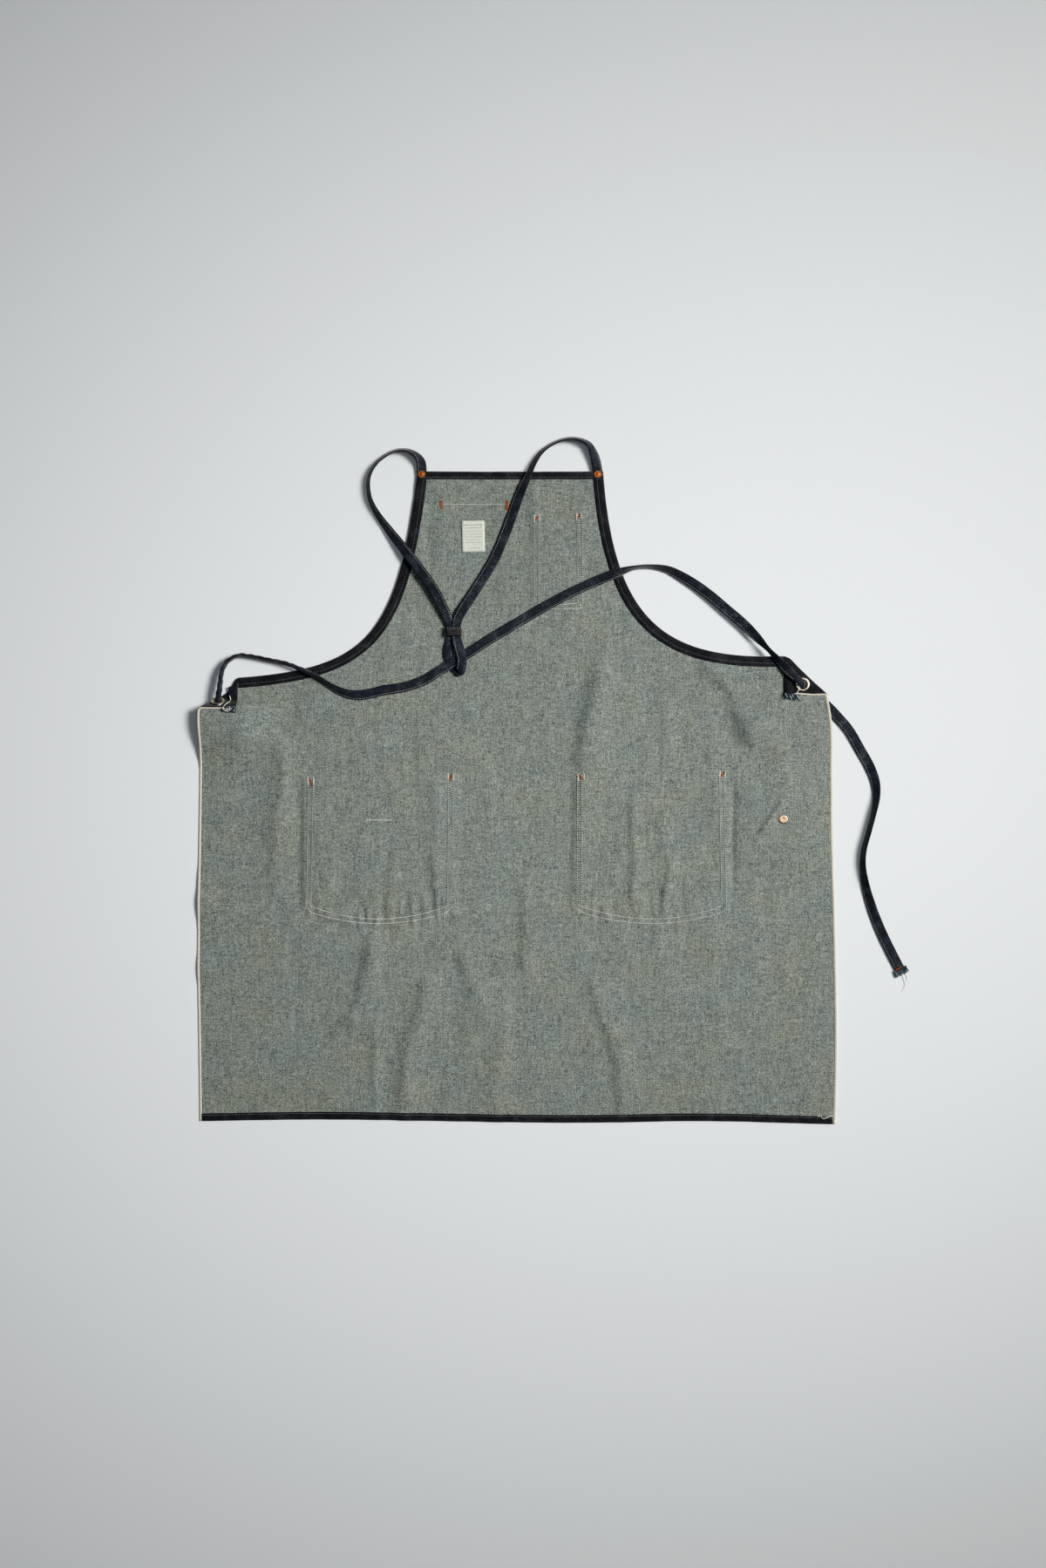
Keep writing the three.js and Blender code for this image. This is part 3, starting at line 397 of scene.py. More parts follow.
# Waist tie from its hidden tail, up through the left eyelet, to the free end, in the same columns
TIE_ROUTE = [
    (-0.3340, 0.0520, 0.0018, 0, 0.0110),
    (-0.3490, 0.0660, 0.0019, 0, 0.0110),
    (-0.3600, 0.0780, 0.0028, 0, 0.0090),
    (-0.3648, 0.0870, 0.0066, 0, 0.0062),
    (-0.3652, 0.0945, 0.0108, 0, 0.0058),
    (-0.3650, 0.1010, 0.0138, 20, 0.0065),
    (-0.3635, 0.1090, 0.0140, 50, 0.0080),
    (-0.3622, 0.1210, 0.0125, 70, 0.0090),
    (-0.3606, 0.1332, 0.0108, 74, 0.0090),
    (-0.3555, 0.1437, 0.0096, 76, 0.0090),
    (-0.3474, 0.1505, 0.0086, 76, 0.0090),
    (-0.3385, 0.1533, 0.0080, 76, 0.0090),
    (-0.3309, 0.1528, 0.0076, 76, 0.0090),
    (-0.3182, 0.1507, 0.0074, 74, 0.0090),
    (-0.3053, 0.1479, 0.0074, 72, 0.0090),
    (-0.2923, 0.1454, 0.0080, 72, 0.0090),
    (-0.2792, 0.1420, 0.0090, 70, 0.0090),
    (-0.2683, 0.1378, 0.0096, 68, 0.0090),
    (-0.2560, 0.1325, 0.0096, 66, 0.0090),
    (-0.2420, 0.1250, 0.0084, 60, 0.0095),
    (-0.2280, 0.1155, 0.0080, 48, 0.0110),
    (-0.2140, 0.1085, 0.0070, 34, 0.0115),
    (-0.2000, 0.1050, 0.0058, 20, 0.0120),
    (-0.1860, 0.1053, 0.0049, 10, 0.0125),
    (-0.1640, 0.1105, 0.0040, 4, 0.0125),
    (-0.1390, 0.1145, 0.0038, 0, 0.0125),
    (-0.1145, 0.1225, 0.0044, 0, 0.0125),
    (-0.0950, 0.1340, 0.0060, 0, 0.0120),
    (-0.0780, 0.1445, 0.0065, 0, 0.0120),
    (-0.0590, 0.1560, 0.0061, 0, 0.0120),
    (-0.0325, 0.1735, 0.0044, 0, 0.0125),
    (0.0000, 0.1930, 0.0042, 0, 0.0125),
    (0.0330, 0.2125, 0.0046, 0, 0.0125),
    (0.0660, 0.2300, 0.0050, 0, 0.0125),
    (0.0930, 0.2425, 0.0056, 6, 0.0125),
    (0.1190, 0.2525, 0.0088, 30, 0.0125),
    (0.1445, 0.2605, 0.0082, 74, 0.0120),
    (0.1630, 0.2620, 0.0066, 74, 0.0120),
    (0.1840, 0.2585, 0.0058, 52, 0.0125),
    (0.2000, 0.2510, 0.0060, 34, 0.0125),
    (0.2190, 0.2395, 0.0056, 18, 0.0125),
    (0.2380, 0.2255, 0.0054, 4, 0.0125),
    (0.2580, 0.2085, 0.0058, 0, 0.0125),
    (0.2770, 0.1920, 0.0072, 10, 0.0125),
    (0.2930, 0.1755, 0.0100, 35, 0.0120),
    (0.3070, 0.1605, 0.0122, 72, 0.0115),
    (0.3185, 0.1480, 0.0142, 56, 0.0115),
    (0.3320, 0.1335, 0.0138, 14, 0.0115),
    (0.3440, 0.1225, 0.0138, 0, 0.0085),
    (0.3498, 0.1174, 0.0124, 0, 0.0070),
    (0.3516, 0.1158, 0.0088, 0, 0.0060),
    (0.3517, 0.1157, 0.0048, 0, 0.0060),
    (0.3540, 0.1138, 0.0022, 0, 0.0070),
    (0.3620, 0.1070, 0.0018, 0, 0.0120),
    (0.3830, 0.0890, 0.0018, 0, 0.0125),
    (0.3925, 0.0790, 0.0018, 0, 0.0125),
    (0.4070, 0.0620, 0.0018, 0, 0.0125),
    (0.4215, 0.0370, 0.0018, 4, 0.0125),
    (0.4320, 0.0180, 0.0026, 14, 0.0125),
    (0.4390, -0.0010, 0.0042, 34, 0.0125),
    (0.4405, -0.0200, 0.0056, 56, 0.0125),
    (0.4370, -0.0400, 0.0066, 70, 0.0125),
    (0.4310, -0.0630, 0.0067, 72, 0.0125),
    (0.4250, -0.0850, 0.0067, 70, 0.0125),
    (0.4235, -0.1040, 0.0064, 64, 0.0125),
    (0.4270, -0.1280, 0.0054, 48, 0.0125),
    (0.4354, -0.1570, 0.0036, 26, 0.0125),
    (0.4465, -0.1850, 0.0024, 10, 0.0125),
    (0.4582, -0.2090, 0.0018, 0, 0.0125),
    (0.4700, -0.2320, 0.0018, 0, 0.0125),
]


def spline(rows, steps):
    """Points on a Catmull-Rom curve through rows of any width; their first three columns space the knots."""
    rows = np.array(rows, float)
    rows = np.vstack([2 * rows[0] - rows[1], rows, 2 * rows[-1] - rows[-2]])
    width = min(rows.shape[1], 3)
    points = []
    for i in range(1, len(rows) - 2):
        a, b, c, d = rows[i - 1:i + 3]
        gaps = [max(np.linalg.norm((q - p)[:width]), 1e-6) ** 0.5 for p, q in ((a, b), (b, c), (c, d))]
        start = gaps[1] * ((b - a) / gaps[0] - (c - a) / (gaps[0] + gaps[1]) + (c - b) / gaps[1])
        end = gaps[1] * ((c - b) / gaps[1] - (d - b) / (gaps[1] + gaps[2]) + (d - c) / gaps[2])
        for t in np.arange(steps) / steps:
            cubic = (2 * b - 2 * c + start + end) * t ** 3
            points.append(cubic + (-3 * b + 3 * c - 2 * start - end) * t ** 2 + start * t + b)
    points.append(rows[-2])
    return np.array(points)


def bezier(rows, steps=40):
    """Points on the cubic with these four control points."""
    a, b, c, d = np.array(rows, float)
    t = np.linspace(0, 1, steps + 1)[:, None]
    s = 1 - t
    return a * s ** 3 + 3 * b * s ** 2 * t + 3 * c * s * t ** 2 + d * t ** 3


def evenly(points, pitch):
    """The same line with its points a fixed distance apart, measured along the first three columns."""
    points = np.array(points, float)
    width = min(points.shape[1], 3)
    lengths = np.linalg.norm(np.diff(points[:, :width], axis=0), axis=1)
    run = np.concatenate([[0], np.cumsum(lengths)])
    count = max(int(round(run[-1] / pitch)), 1)
    marks = np.linspace(0, run[-1], count + 1)
    return np.stack([np.interp(marks, run, column) for column in points.T], axis=1)


def inset(points, distance):
    """A line in plan, moved to its right-hand side, which is inwards on this outline."""
    points = np.array(points, float)
    run = np.gradient(points, axis=0)
    run /= np.linalg.norm(run, axis=1)[:, None]
    return points + np.stack([run[:, 1], -run[:, 0]], axis=1) * np.reshape(distance, (-1, 1))


left_side = spline(LEFT_SIDE, steps=10)
right_side = spline(RIGHT_SIDE, steps=10)
bottom_edge = spline(BOTTOM, steps=16)
left_armhole = bezier(LEFT_ARMHOLE)
right_armhole = bezier(RIGHT_ARMHOLE)
left_corner = spline(LEFT_CORNER, steps=6)
right_corner = spline(RIGHT_CORNER, steps=6)
left_edge = np.vstack([left_corner, left_armhole])
right_edge = np.vstack([right_armhole, right_corner])


def smooth(t):
    """A soft step from 0 to 1."""
    t = np.clip(t, 0, 1)
    return t * t * (3 - 2 * t)


def segment_distance(x, y, x0, y0, x1, y1):
    """Distance in plan from points to one straight stretch."""
    along = ((x - x0) * (x1 - x0) + (y - y0) * (y1 - y0)) / ((x1 - x0) ** 2 + (y1 - y0) ** 2)
    t = np.clip(along, 0, 1)
    return np.hypot(x - x0 - t * (x1 - x0), y - y0 - t * (y1 - y0))


def path_distance(x, y, path):
    """Distance in plan from points to a line of straight stretches."""
    nearest = np.full(np.shape(x), np.inf)
    for (x0, y0), (x1, y1) in zip(path[:-1], path[1:]):
        nearest = np.minimum(nearest, segment_distance(x, y, x0, y0, x1, y1))
    return nearest


def cloud(x, y, size_x, size_y, seed):
    """Smooth noise over the plan, from -1 to 1, with lumps of the given size."""
    flat = zip(np.ravel(x) / size_x, np.ravel(y) / size_y)
    values = [noise.noise(Vector((u, v, seed))) for u, v in flat]
    return np.reshape(np.array(values), np.shape(x))


def relief(x, y, row):
    """Unevenness with the height, lump sizes and seed of a row."""
    height, size_x, size_y, seed = row
    return height * MM * cloud(x, y, size_x * MM, size_y * MM, seed)


def pocket_line(row, inwards, corner):
    """One side of a pocket, its round lower edge with cut corners and its other side: a line in plan."""
    left = row["left"] + inwards
    right = row["right"] - inwards
    across = np.linspace(-1, 1, ARC_POINTS)
    arc_x = (left + right) / 2 + across * (right - left) / 2
    arc_y = row["side"] + inwards - row["sag"] * (1 - across ** 2)
    kept = np.minimum(arc_x - left, right - arc_x) >= corner
    arc = np.stack([arc_x, arc_y], axis=1)[kept]
    foot = row["side"] + inwards + corner
    tops = [(left + row["leans"][0], row["top"]), (right + row["leans"][1], row["top"])]
    return np.vstack([tops[0], (left, foot), arc, (right, foot), tops[1]])


def pocket_step(x, y, row):
    """Relief of the cloth over a pocket: a steep step at its left, softer ones at its other edges."""
    across = (x - (row["left"] + row["right"]) / 2) / ((row["right"] - row["left"]) / 2)
    lower = row["side"] - row["sag"] * np.clip(1 - across ** 2, 0, 1)
    rooms = {
        "left": x - row["left"] + LEFT_STEP_SHIFT, "right": row["right"] - x,
        "lower": y - lower, "top": row["top"] - y,
    }
    shares = [rooms[side] / run for side, run in STEP_RUNS.items()]
    return smooth(np.minimum.reduce(shares) + 0.5)


def seam_shares(x, y):
    """How near a point is to the pockets' side seams, their round seams and the lower hem: 0 to 1."""
    sides = np.full(x.shape, np.inf)
    rounds = np.full(x.shape, np.inf)
    for row in POCKETS:
        line = pocket_line(row, SEAM_MIDDLE, row["corner"])
        rounds = np.minimum(rounds, path_distance(x, y, line[1:-1]))
        for side in (line[:2], line[-2:]):
            sides = np.minimum(sides, path_distance(x, y, side))
    hem = np.abs(y - np.interp(x, bottom_edge[::-1, 0], bottom_edge[::-1, 1]) - HEM_WIDTH)
    return [np.exp(-(away / reach) ** 2) for away, reach in zip((sides, rounds, hem), PUCKER_REACHES)]


def puckers(x, y):
    """Small gathers that the sewing draws up across the seams."""
    return sum(share * relief(x, y, row) for share, row in zip(seam_shares(x, y), PUCKERS))


def edge_lift(x, y):
    """Waves along the left edge, which stands a little off the floor in places."""
    inwards = x - np.interp(y, left_side[:, 1], left_side[:, 0])
    lifts = sum(height * np.exp(-((y - middle) / half) ** 2) for middle, half, height in EDGE_LIFTS)
    return lifts * smooth(1 - inwards / EDGE_LIFT_REACH)


def fold_height(x, y, row):
    """A fold whose two flanks have their own widths, and which fades out towards its ends."""
    height, left_width, right_width, points = row
    points = np.array(points) * MM
    runs = np.diff(points, axis=0)
    lengths = np.linalg.norm(runs, axis=1)
    starts = np.cumsum(lengths) - lengths
    nearest = np.full(x.shape, np.inf)
    across = np.zeros(x.shape)
    progress = np.zeros(x.shape)
    for (x0, y0), (run_x, run_y), length, start in zip(points, runs, lengths, starts):
        along = np.clip(((x - x0) * run_x + (y - y0) * run_y) / length ** 2, 0, 1)
        away = np.hypot(x - x0 - along * run_x, y - y0 - along * run_y)
        side = np.where(run_x * (y - y0) < run_y * (x - x0), -1, 1)
        nearer = away < nearest
        nearest = np.where(nearer, away, nearest)
        across = np.where(nearer, away * side, across)
        progress = np.where(nearer, (start + along * length) / lengths.sum(), progress)
    width = np.where(across < 0, left_width, right_width) * MM
    ends = smooth(progress / FOLD_FADE) * smooth((1 - progress) / FOLD_FADE)
    return height * MM * ends * np.exp(-(across / width) ** 2)


def support_height(x, y, row):
    """A flat top that fades out all round."""
    middle_x, middle_y, half_x, half_y, height, fade = row
    out_x = np.maximum(np.abs(x - middle_x) - half_x, 0)
    out_y = np.maximum(np.abs(y - middle_y) - half_y, 0)
    return height * smooth(1 - np.hypot(out_x, out_y) / fade)


def left_corner_height(x, y):
    """The raised left corner: up a flat ramp to the crest, then down a long slope."""
    slope = LEFT_RAMP
    ends = LEFT_RAMP_ENDS
    across = smooth((x - ends["end_x"]) / (ends["full_x"] - ends["end_x"]))
    climb = np.minimum((slope["foot_y"] - y) / (slope["foot_y"] - slope["crest_y"]), 1)
    rise = np.maximum(slope["foot"] + (slope["crest"] - slope["foot"]) * climb, 0)
    return rise * smooth((y - slope["end_y"]) / (slope["back_y"] - slope["end_y"])) * across


def lie(x, y):
    """Height of the panel's underside above the floor."""
    x = np.asarray(x, float)
    y = np.asarray(y, float)
    binding = np.minimum(path_distance(x, y, left_armhole), path_distance(x, y, right_armhole))
    height = PLY * smooth(1 - (binding - BINDING_SEAT["reach"]) / BINDING_SEAT["fade"])
    height = np.maximum(height, left_corner_height(x, y))
    for row in SUPPORTS:
        height = np.maximum(height, support_height(x, y, row))
    for row in FOLDS:
        height = height + fold_height(x, y, row)
    under = np.maximum.reduce([pocket_step(x, y, row) for row in POCKETS])
    height = height + POCKET_STEP * under + puckers(x, y) + edge_lift(x, y)
    waves = WAVE_LIFT + sum(relief(x, y, row) for row in WAVES)
    left_room = x - np.interp(y, left_side[:, 1], left_side[:, 0])
    right_room = np.interp(-y, -right_side[:, 1], right_side[:, 0]) - x
    height = height + waves * smooth(np.minimum(left_room, right_room) / EDGE_CALM)
    return np.maximum(height, FLOOR_GAP + PLY * np.minimum(2 * under, 1))


def on_cloth(points, lift):
    """A line in plan, laid on the panel: points in space, a fixed height above its underside."""
    points = np.array(points, float)
    heights = lie(points[:, 0], points[:, 1]) + lift
    return np.column_stack([points, heights])


# Materials
def linear(code):
    """The linear colour of an sRGB hex value."""
    parts = [int(code[i:i + 2], 16) / 255 for i in (0, 2, 4)]
    curve = [part / 12.92 if part <= 0.04045 else ((part + 0.055) / 1.055) ** 2.4 for part in parts]
    return (*curve, 1.0)


def node(tree, kind, sockets, **settings):
    """Adds a node: its settings by name, and each input socket's value or link."""
    made = tree.nodes.new(kind)
    for name, value in settings.items():
        setattr(made, name, value)
    for key, value in sockets.items():
        if isinstance(value, bpy.types.NodeSocket):
            tree.links.new(value, made.inputs[key])
        else:
            made.inputs[key].default_value = value
    return made


def shader(name, **sockets):
    """A new material with one Principled shader; its fixed values go straight on the sockets."""
    material = bpy.data.materials.new(name)
    material.use_nodes = True
    bsdf = material.node_tree.nodes["Principled BSDF"]
    for key, value in sockets.items():
        bsdf.inputs[key.replace("_", " ")].default_value = value
    return material, material.node_tree, bsdf


def ramp(tree, factor, stops):
    """Colours by a factor from 0 to 1: position and hex value of each stop."""
    made = node(tree, "ShaderNodeValToRGB", {"Fac": factor})
    elements = made.color_ramp.elements
    while len(elements) < len(stops):
        elements.new(0.5)
    for element, (position, code) in zip(elements, stops):
        element.position = position
        element.color = linear(code)
    return made.outputs["Color"]


def object_place(tree):
    """Places on the object itself, in metres."""
    return node(tree, "ShaderNodeTexCoord", {}).outputs["Object"]


def grain(tree, place, size, detail=2.0):
    """Noise with lumps of the given size."""
    return node(tree, "ShaderNodeTexNoise", {"Vector": place, "Scale": 1 / size, "Detail": detail}).outputs[0]


def multiply_add(tree, value, factor, addend):
    """One value times a factor, with another value added."""
    sockets = {0: value, 1: factor, 2: addend}
    return node(tree, "ShaderNodeMath", sockets, operation="MULTIPLY_ADD").outputs[0]


def coloured(tree, bsdf, colour):
    """Puts a colour on the shader."""
    tree.links.new(colour, bsdf.inputs["Base Color"])


def bumped(tree, bsdf, height, strength, distance):
    """Puts a bump on the shader."""
    bump = node(tree, "ShaderNodeBump", {"Height": height, "Strength": strength, "Distance": distance})
    tree.links.new(bump.outputs[0], bsdf.inputs["Normal"])


def pale_denim():
    # Wrong side of raw twill: undyed weft shows over the indigo warp, so a matt grey-green speckle with faint
    # threads both ways. Real threads lie 0.5 mm apart, too fine to show, so they are drawn 0.85 mm apart.
    material, tree, bsdf = shader("denim_wrong_side", Roughness=0.92)
    place = object_place(tree)
    thread = 0.85 * MM
    warp_slub = 11 * MM
    weft_slub = 8 * MM
    cells = []
    for size_x, size_y in ((thread, thread), (thread, warp_slub), (weft_slub, thread)):
        spread = node(tree, "ShaderNodeMapping", {"Vector": place, "Scale": (1 / size_x, 1 / size_y, 0)})
        cell = node(tree, "ShaderNodeVectorMath", {0: spread.outputs[0]}, operation="FLOOR")
        tone = node(tree, "ShaderNodeTexWhiteNoise", {"Vector": cell.outputs[0]}, noise_dimensions="2D")
        cells.append(tone.outputs["Value"])
    speck, warp, weft = cells
    patch = grain(tree, place, 30 * MM, 3.0)
    warmth = grain(tree, place, 60 * MM)
    creases = node(tree, "ShaderNodeMapping", {"Vector": place, "Scale": (1 / (5 * MM), 1 / (12 * MM), 0)})
    crumple = grain(tree, creases.outputs[0], 1.0, 1.0)
    threads = multiply_add(tree, warp, 0.3, speck)
    weave = multiply_add(tree, weft, 0.3, threads)
    shade = multiply_add(tree, patch, 0.16, weave)
    level = node(tree, "ShaderNodeMapRange", {"Value": shade, "From Min": 0.04, "From Max": 1.82})
    colour = ramp(tree, level.outputs[0], [(0.0, "393f40"), (0.5, "89918c"), (1.0, "bcc4be")])
    # The seam nearness makes the cloth a little darker and bluer next to the pockets' side seams: painted shade in the
    # grooves along them. It also strengthens the crumple bump there.
    seam = node(tree, "ShaderNodeAttribute", {}, attribute_name="seam").outputs["Fac"]
    warmth_and_seam_shade = [ramp(tree, warmth, [(0.35, "f9fcff"), (0.65, "fffdf9")]),
             ramp(tree, seam, [(0.0, "ffffff"), (1.0, "fafcfc")])]
    for tint in warmth_and_seam_shade:
        sockets = {0: 1.0, 6: colour, 7: tint}
        colour = node(tree, "ShaderNodeMix", sockets, data_type="RGBA", blend_type="MULTIPLY").outputs[2]
    coloured(tree, bsdf, colour)
    gathered = multiply_add(tree, seam, 1.5, 0.5)
    rumple = node(tree, "ShaderNodeMath", {0: crumple, 1: gathered}, operation="MULTIPLY")
    bumped(tree, bsdf, rumple.outputs[0], 0.5, 0.45 * MM)
    return material


def dark_denim(name, shades):
    # Face of raw indigo twill: charcoal blue with paler warp slubs, and a soft dull sheen at a slant.
    material, tree, bsdf = shader(name, Roughness=0.85, Sheen_Weight=0.35, Sheen_Roughness=0.5)
    place = object_place(tree)
    speck = grain(tree, place, 1.4 * MM)
    patch = grain(tree, place, 12 * MM)
    mixed = multiply_add(tree, patch, 0.7, speck)
    level = node(tree, "ShaderNodeMapRange", {"Value": mixed, "From Min": 0.5, "From Max": 1.2})
    coloured(tree, bsdf, ramp(tree, level.outputs[0], list(zip((0.0, 0.5, 1.0), shades))))
    bumped(tree, bsdf, speck, 0.4, 0.3 * MM)
    return material


def cotton(name, dark, pale, size):
    # Spun cotton yarn or woven cotton: matt, with a slight change of tone from strand to strand.
    material, tree, bsdf = shader(name, Roughness=0.9)
    tone = grain(tree, object_place(tree), size)
    coloured(tree, bsdf, ramp(tree, tone, [(0.3, dark), (0.7, pale)]))
    bumped(tree, bsdf, tone, 0.3, 0.2 * MM)
    return material


def metal(name, dull, bright, roughness):
    # Stamped plated metal: bright, with fine handling marks that break up the shine.
    material, tree, bsdf = shader(name, Metallic=1.0)
    mark = grain(tree, object_place(tree), 1.5 * MM, 4.0)
    coloured(tree, bsdf, ramp(tree, mark, [(0.3, dull), (0.65, bright)]))
    limits = {"To Min": roughness - 0.1, "To Max": roughness + 0.15}
    rough = node(tree, "ShaderNodeMapRange", {"Value": mark, **limits})
    tree.links.new(rough.outputs[0], bsdf.inputs["Roughness"])
    return material


PALE = pale_denim()
DARK = dark_denim("raw_indigo_denim", ("131518", "232529", "45484e"))
# The same raw indigo denim as the hems, with lighter colours for the tie and neck strap: painted light on the tapes
# that stand on edge.
TAPE_DENIM_PAINTED_LIGHTER = dark_denim("raw_indigo_tape_painted_lighter", ("16191e", "2a2e35", "5a606a"))
WHITE_THREAD = cotton("white_sewing_thread", "d2d8d4", "f4f6f1", 1.0 * MM)
GREY_THREAD = cotton("grey_sewing_thread", "8d9293", "a9aeae", 1.0 * MM)
ORANGE_THREAD = cotton("orange_sewing_thread", "8e3d18", "c96a34", 1.0 * MM)
BLUE_YARN = cotton("indigo_warp_yarn", "26303b", "5f6e7e", 1.2 * MM)
SELVEDGE = cotton("undyed_selvedge_yarn", "cbc9b9", "eae7da", 1.6 * MM)
TAN_YARN = cotton("tan_selvedge_yarn", "7c7059", "a29474", 1.2 * MM)
KEEPER_TAPE = cotton("charcoal_tape", "2c2d30", "4d4d50", 1.3 * MM)
LABEL_YARN = cotton("dark_label_yarn", "5c6163", "7d8284", 1.0 * MM)
LABEL_COTTON = cotton("label_cotton", "cdd5cc", "e6ebe2", 2.0 * MM)
COPPER = metal("copper_plate", "8c5236", "c4805a", 0.5)
PALE_COPPER = metal("tinned_copper", "b98f73", "f0d3ba", 0.35)
NICKEL = metal("nickel_plate", "8d887e", "dcd7cb", 0.35)


# Mesh pieces
def piece(name, bm, slot, *materials):
    """Turns a bmesh into a finished object that rides on the apron's one body."""
    mesh = bpy.data.meshes.new(name)
    bm.to_mesh(mesh)
    bm.free()
    mesh.shade_smooth()
    for material in materials:
        mesh.materials.append(material)
    made = bpy.data.objects.new(name, mesh)
    bpy.context.scene.collection.objects.link(made)
    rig.ride(made, "root")
    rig.slot(made, slot)
    return made


def thicken(made, thickness):
    """Gives a sheet its thickness, below its face, with the last of its materials on the other side."""
    wall = made.modifiers.new("thickness", "SOLIDIFY")
    wall.thickness = thickness
    wall.offset = -1
    wall.material_offset = len(made.data.materials) - 1


def grid_spots(bm, columns, rows):
    """Adds a flat grid and gives each of its vertices' column and row."""
    made = bmesh.ops.create_grid(bm, x_segments=columns, y_segments=rows, size=0.5)["verts"]
    return {v: (round((v.co.x + 0.5) * columns), round((v.co.y + 0.5) * rows)) for v in made}


def run_lengths(points):
    """Distance along a line of points, at each of them."""
    steps = np.linalg.norm(np.diff(np.array(points), axis=0), axis=1)
    return np.concatenate([[0], np.cumsum(steps)])


def skin(bm, rings, loop=False):
    """Adds a closed skin over rings of points: a grid rolled up, with its ends filled or joined."""
    rings = [list(ring) for ring in rings]
    if loop:
        rings.append(rings[0])
    around = len(rings[0])
    uv = bm.loops.layers.uv.verify()
    spots = grid_spots(bm, around, len(rings) - 1)
    run = run_lengths([ring[0] for ring in rings])
    girth = run_lengths(rings[0] + rings[0][:1])
    for face in {face for vertex in spots for face in vertex.link_faces}:
        for corner in face.loops:
            col, row = spots[corner.vert]
            corner[uv].uv = (run[row], girth[col])
    for vertex, (col, row) in spots.items():
        vertex.co = rings[row][col % around]
    bmesh.ops.remove_doubles(bm, verts=list(spots), dist=1e-7)
    left = [vertex for vertex in spots if vertex.is_valid]
    if not loop:
        rims = {edge for vertex in left for edge in vertex.link_edges if edge.is_boundary}
        bmesh.ops.holes_fill(bm, edges=list(rims), sides=0)
    faces = {face for vertex in left for face in vertex.link_faces}
    bmesh.ops.recalc_face_normals(bm, faces=list(faces))


def along_edge(path, section):
    """Rings of a section laid along a line in plan: distance to its right, and height above the panel."""
    rings = [[] for _ in path]
    for inwards, lift in section:
        for ring, point in zip(rings, on_cloth(inset(path, inwards), lift)):
            ring.append(Vector(point))
    return rings


def tape_frames(route, pitch):
    """Stations along a flat tape: centre, direction across, direction through, width."""
    rows = evenly(spline(route, steps=12), pitch)
    runs = np.gradient(rows[:, :3], axis=0)
    side = Vector((0, 0, 0))
    frames = []
    for row, run in zip(rows, runs):
        run = Vector(run).normalized()
        level = run.cross(UP)
        if level.length > 0.35:
            level.normalize()
            if level.dot(side) < 0:
                level.negate()
            side = level
        else:
            side = (side - run * side.dot(run)).normalized()
        across = Matrix.Rotation(math.radians(row[3]), 3, run) @ side
        frames.append((Vector(row[:3]), across, across.cross(run), row[4]))
    return frames


# Section of a tape, and its stitches: distance from its edge, then pitch, length and width
TAPE_SIDES = 18
TAPE_FACE = 0.47 * TAPE_THICKNESS
TAPE_SEAM = 1.9 * MM
TAPE_STITCH = (2.5 * MM, 1.3 * MM, 0.55 * MM)

# Where a tape is narrower than ROLL_WIDTH it is drawn together: how much thicker it gets, how deep its twist
# is, and how square its section stays across and through, flat and rolled
ROLL_WIDTH = 10.2 * MM
ROLL_RANGE = 1.2 * MM
ROLL_THICKER = 0.7
TWIST_DEPTH = 0.14
TWIST_STEP = 1.3
FLAT_POWERS = (0.45, 0.7)
ROLLED_POWERS = (0.85, 0.9)
UNEVEN_SHARE = 0.12
UNEVEN_STEP = 0.35


def tape_rings(frames, seed):
    """Soft rounded section at each station, thicker, rounder and twisted where the tape is drawn together."""
    rings = []
    for i, (centre, across, through, width) in enumerate(frames):
        rolled = float(smooth((ROLL_WIDTH - width) / ROLL_RANGE))
        uneven = 1 + UNEVEN_SHARE * noise.noise(Vector((i * UNEVEN_STEP, seed, 0)))
        thickness = TAPE_THICKNESS * (1 + ROLL_THICKER * rolled) * uneven
        across_power, through_power = [a + (b - a) * rolled for a, b in zip(FLAT_POWERS, ROLLED_POWERS)]
        ring = []
        for k in range(TAPE_SIDES):
            angle = 2 * math.pi * k / TAPE_SIDES
            c = math.cos(angle)
            s = math.sin(angle)
            twist = 1 + TWIST_DEPTH * rolled * math.sin(3 * angle + i * TWIST_STEP)
            u = math.copysign(abs(c) ** across_power, c) * width / 2 * twist
            v = math.copysign(abs(s) ** through_power, s) * thickness / 2 * twist
            ring.append(centre + across * u + through * v)
        rings.append(ring)
    return rings


def repeated(name, matrices, slot, material):
    """One object holding a small rounded shape at each matrix, joined from arrays."""
    shape = bmesh.new()
    bmesh.ops.create_icosphere(shape, subdivisions=1, radius=0.5)
    points = np.array([vertex.co for vertex in shape.verts])
    faces = np.array([[vertex.index for vertex in face.verts] for face in shape.faces])
    shape.free()
    turns = np.array(matrices)
    places = np.einsum("nij,vj->nvi", turns[:, :3, :3], points) + turns[:, None, :3, 3]
    corners = faces[None] + (np.arange(len(turns)) * len(points))[:, None, None]
    joined = bpy.data.meshes.new(name + "_joined")
    joined.from_pydata(places.reshape(-1, 3), [], corners.reshape(-1, 3))
    bm = bmesh.new()
    bm.from_mesh(joined)
    bpy.data.meshes.remove(joined)
    return piece(name, bm, slot, material)


STITCH_HEIGHT = 0.6


def stitch(point, run, up, length, width):
    """Matrix of one stitch: a rounded lozenge lying along its run."""
    run = Vector(run).normalized()
    side = Vector(up).cross(run).normalized()
    height = -STITCH_HEIGHT * width
    turn = Matrix((side * width, side.cross(run) * height, run * length)).transposed().to_4x4()
    turn.translation = point
    return turn


def stitch_row(line, length, width, ups=None):
    """Stitches at each point of a line, lying along it."""
    line = np.array(line)
    runs = np.gradient(line, axis=0)
    ups = ups or [UP] * len(line)
    return [stitch(point, run, up, length, width) for point, run, up in zip(line, runs, ups)]


def cloth_row(path, lift, pitch, length, width):
    """Stitches along a line in plan, a fixed height above the panel's underside."""
    return stitch_row(on_cloth(evenly(path, pitch), lift), length, width)


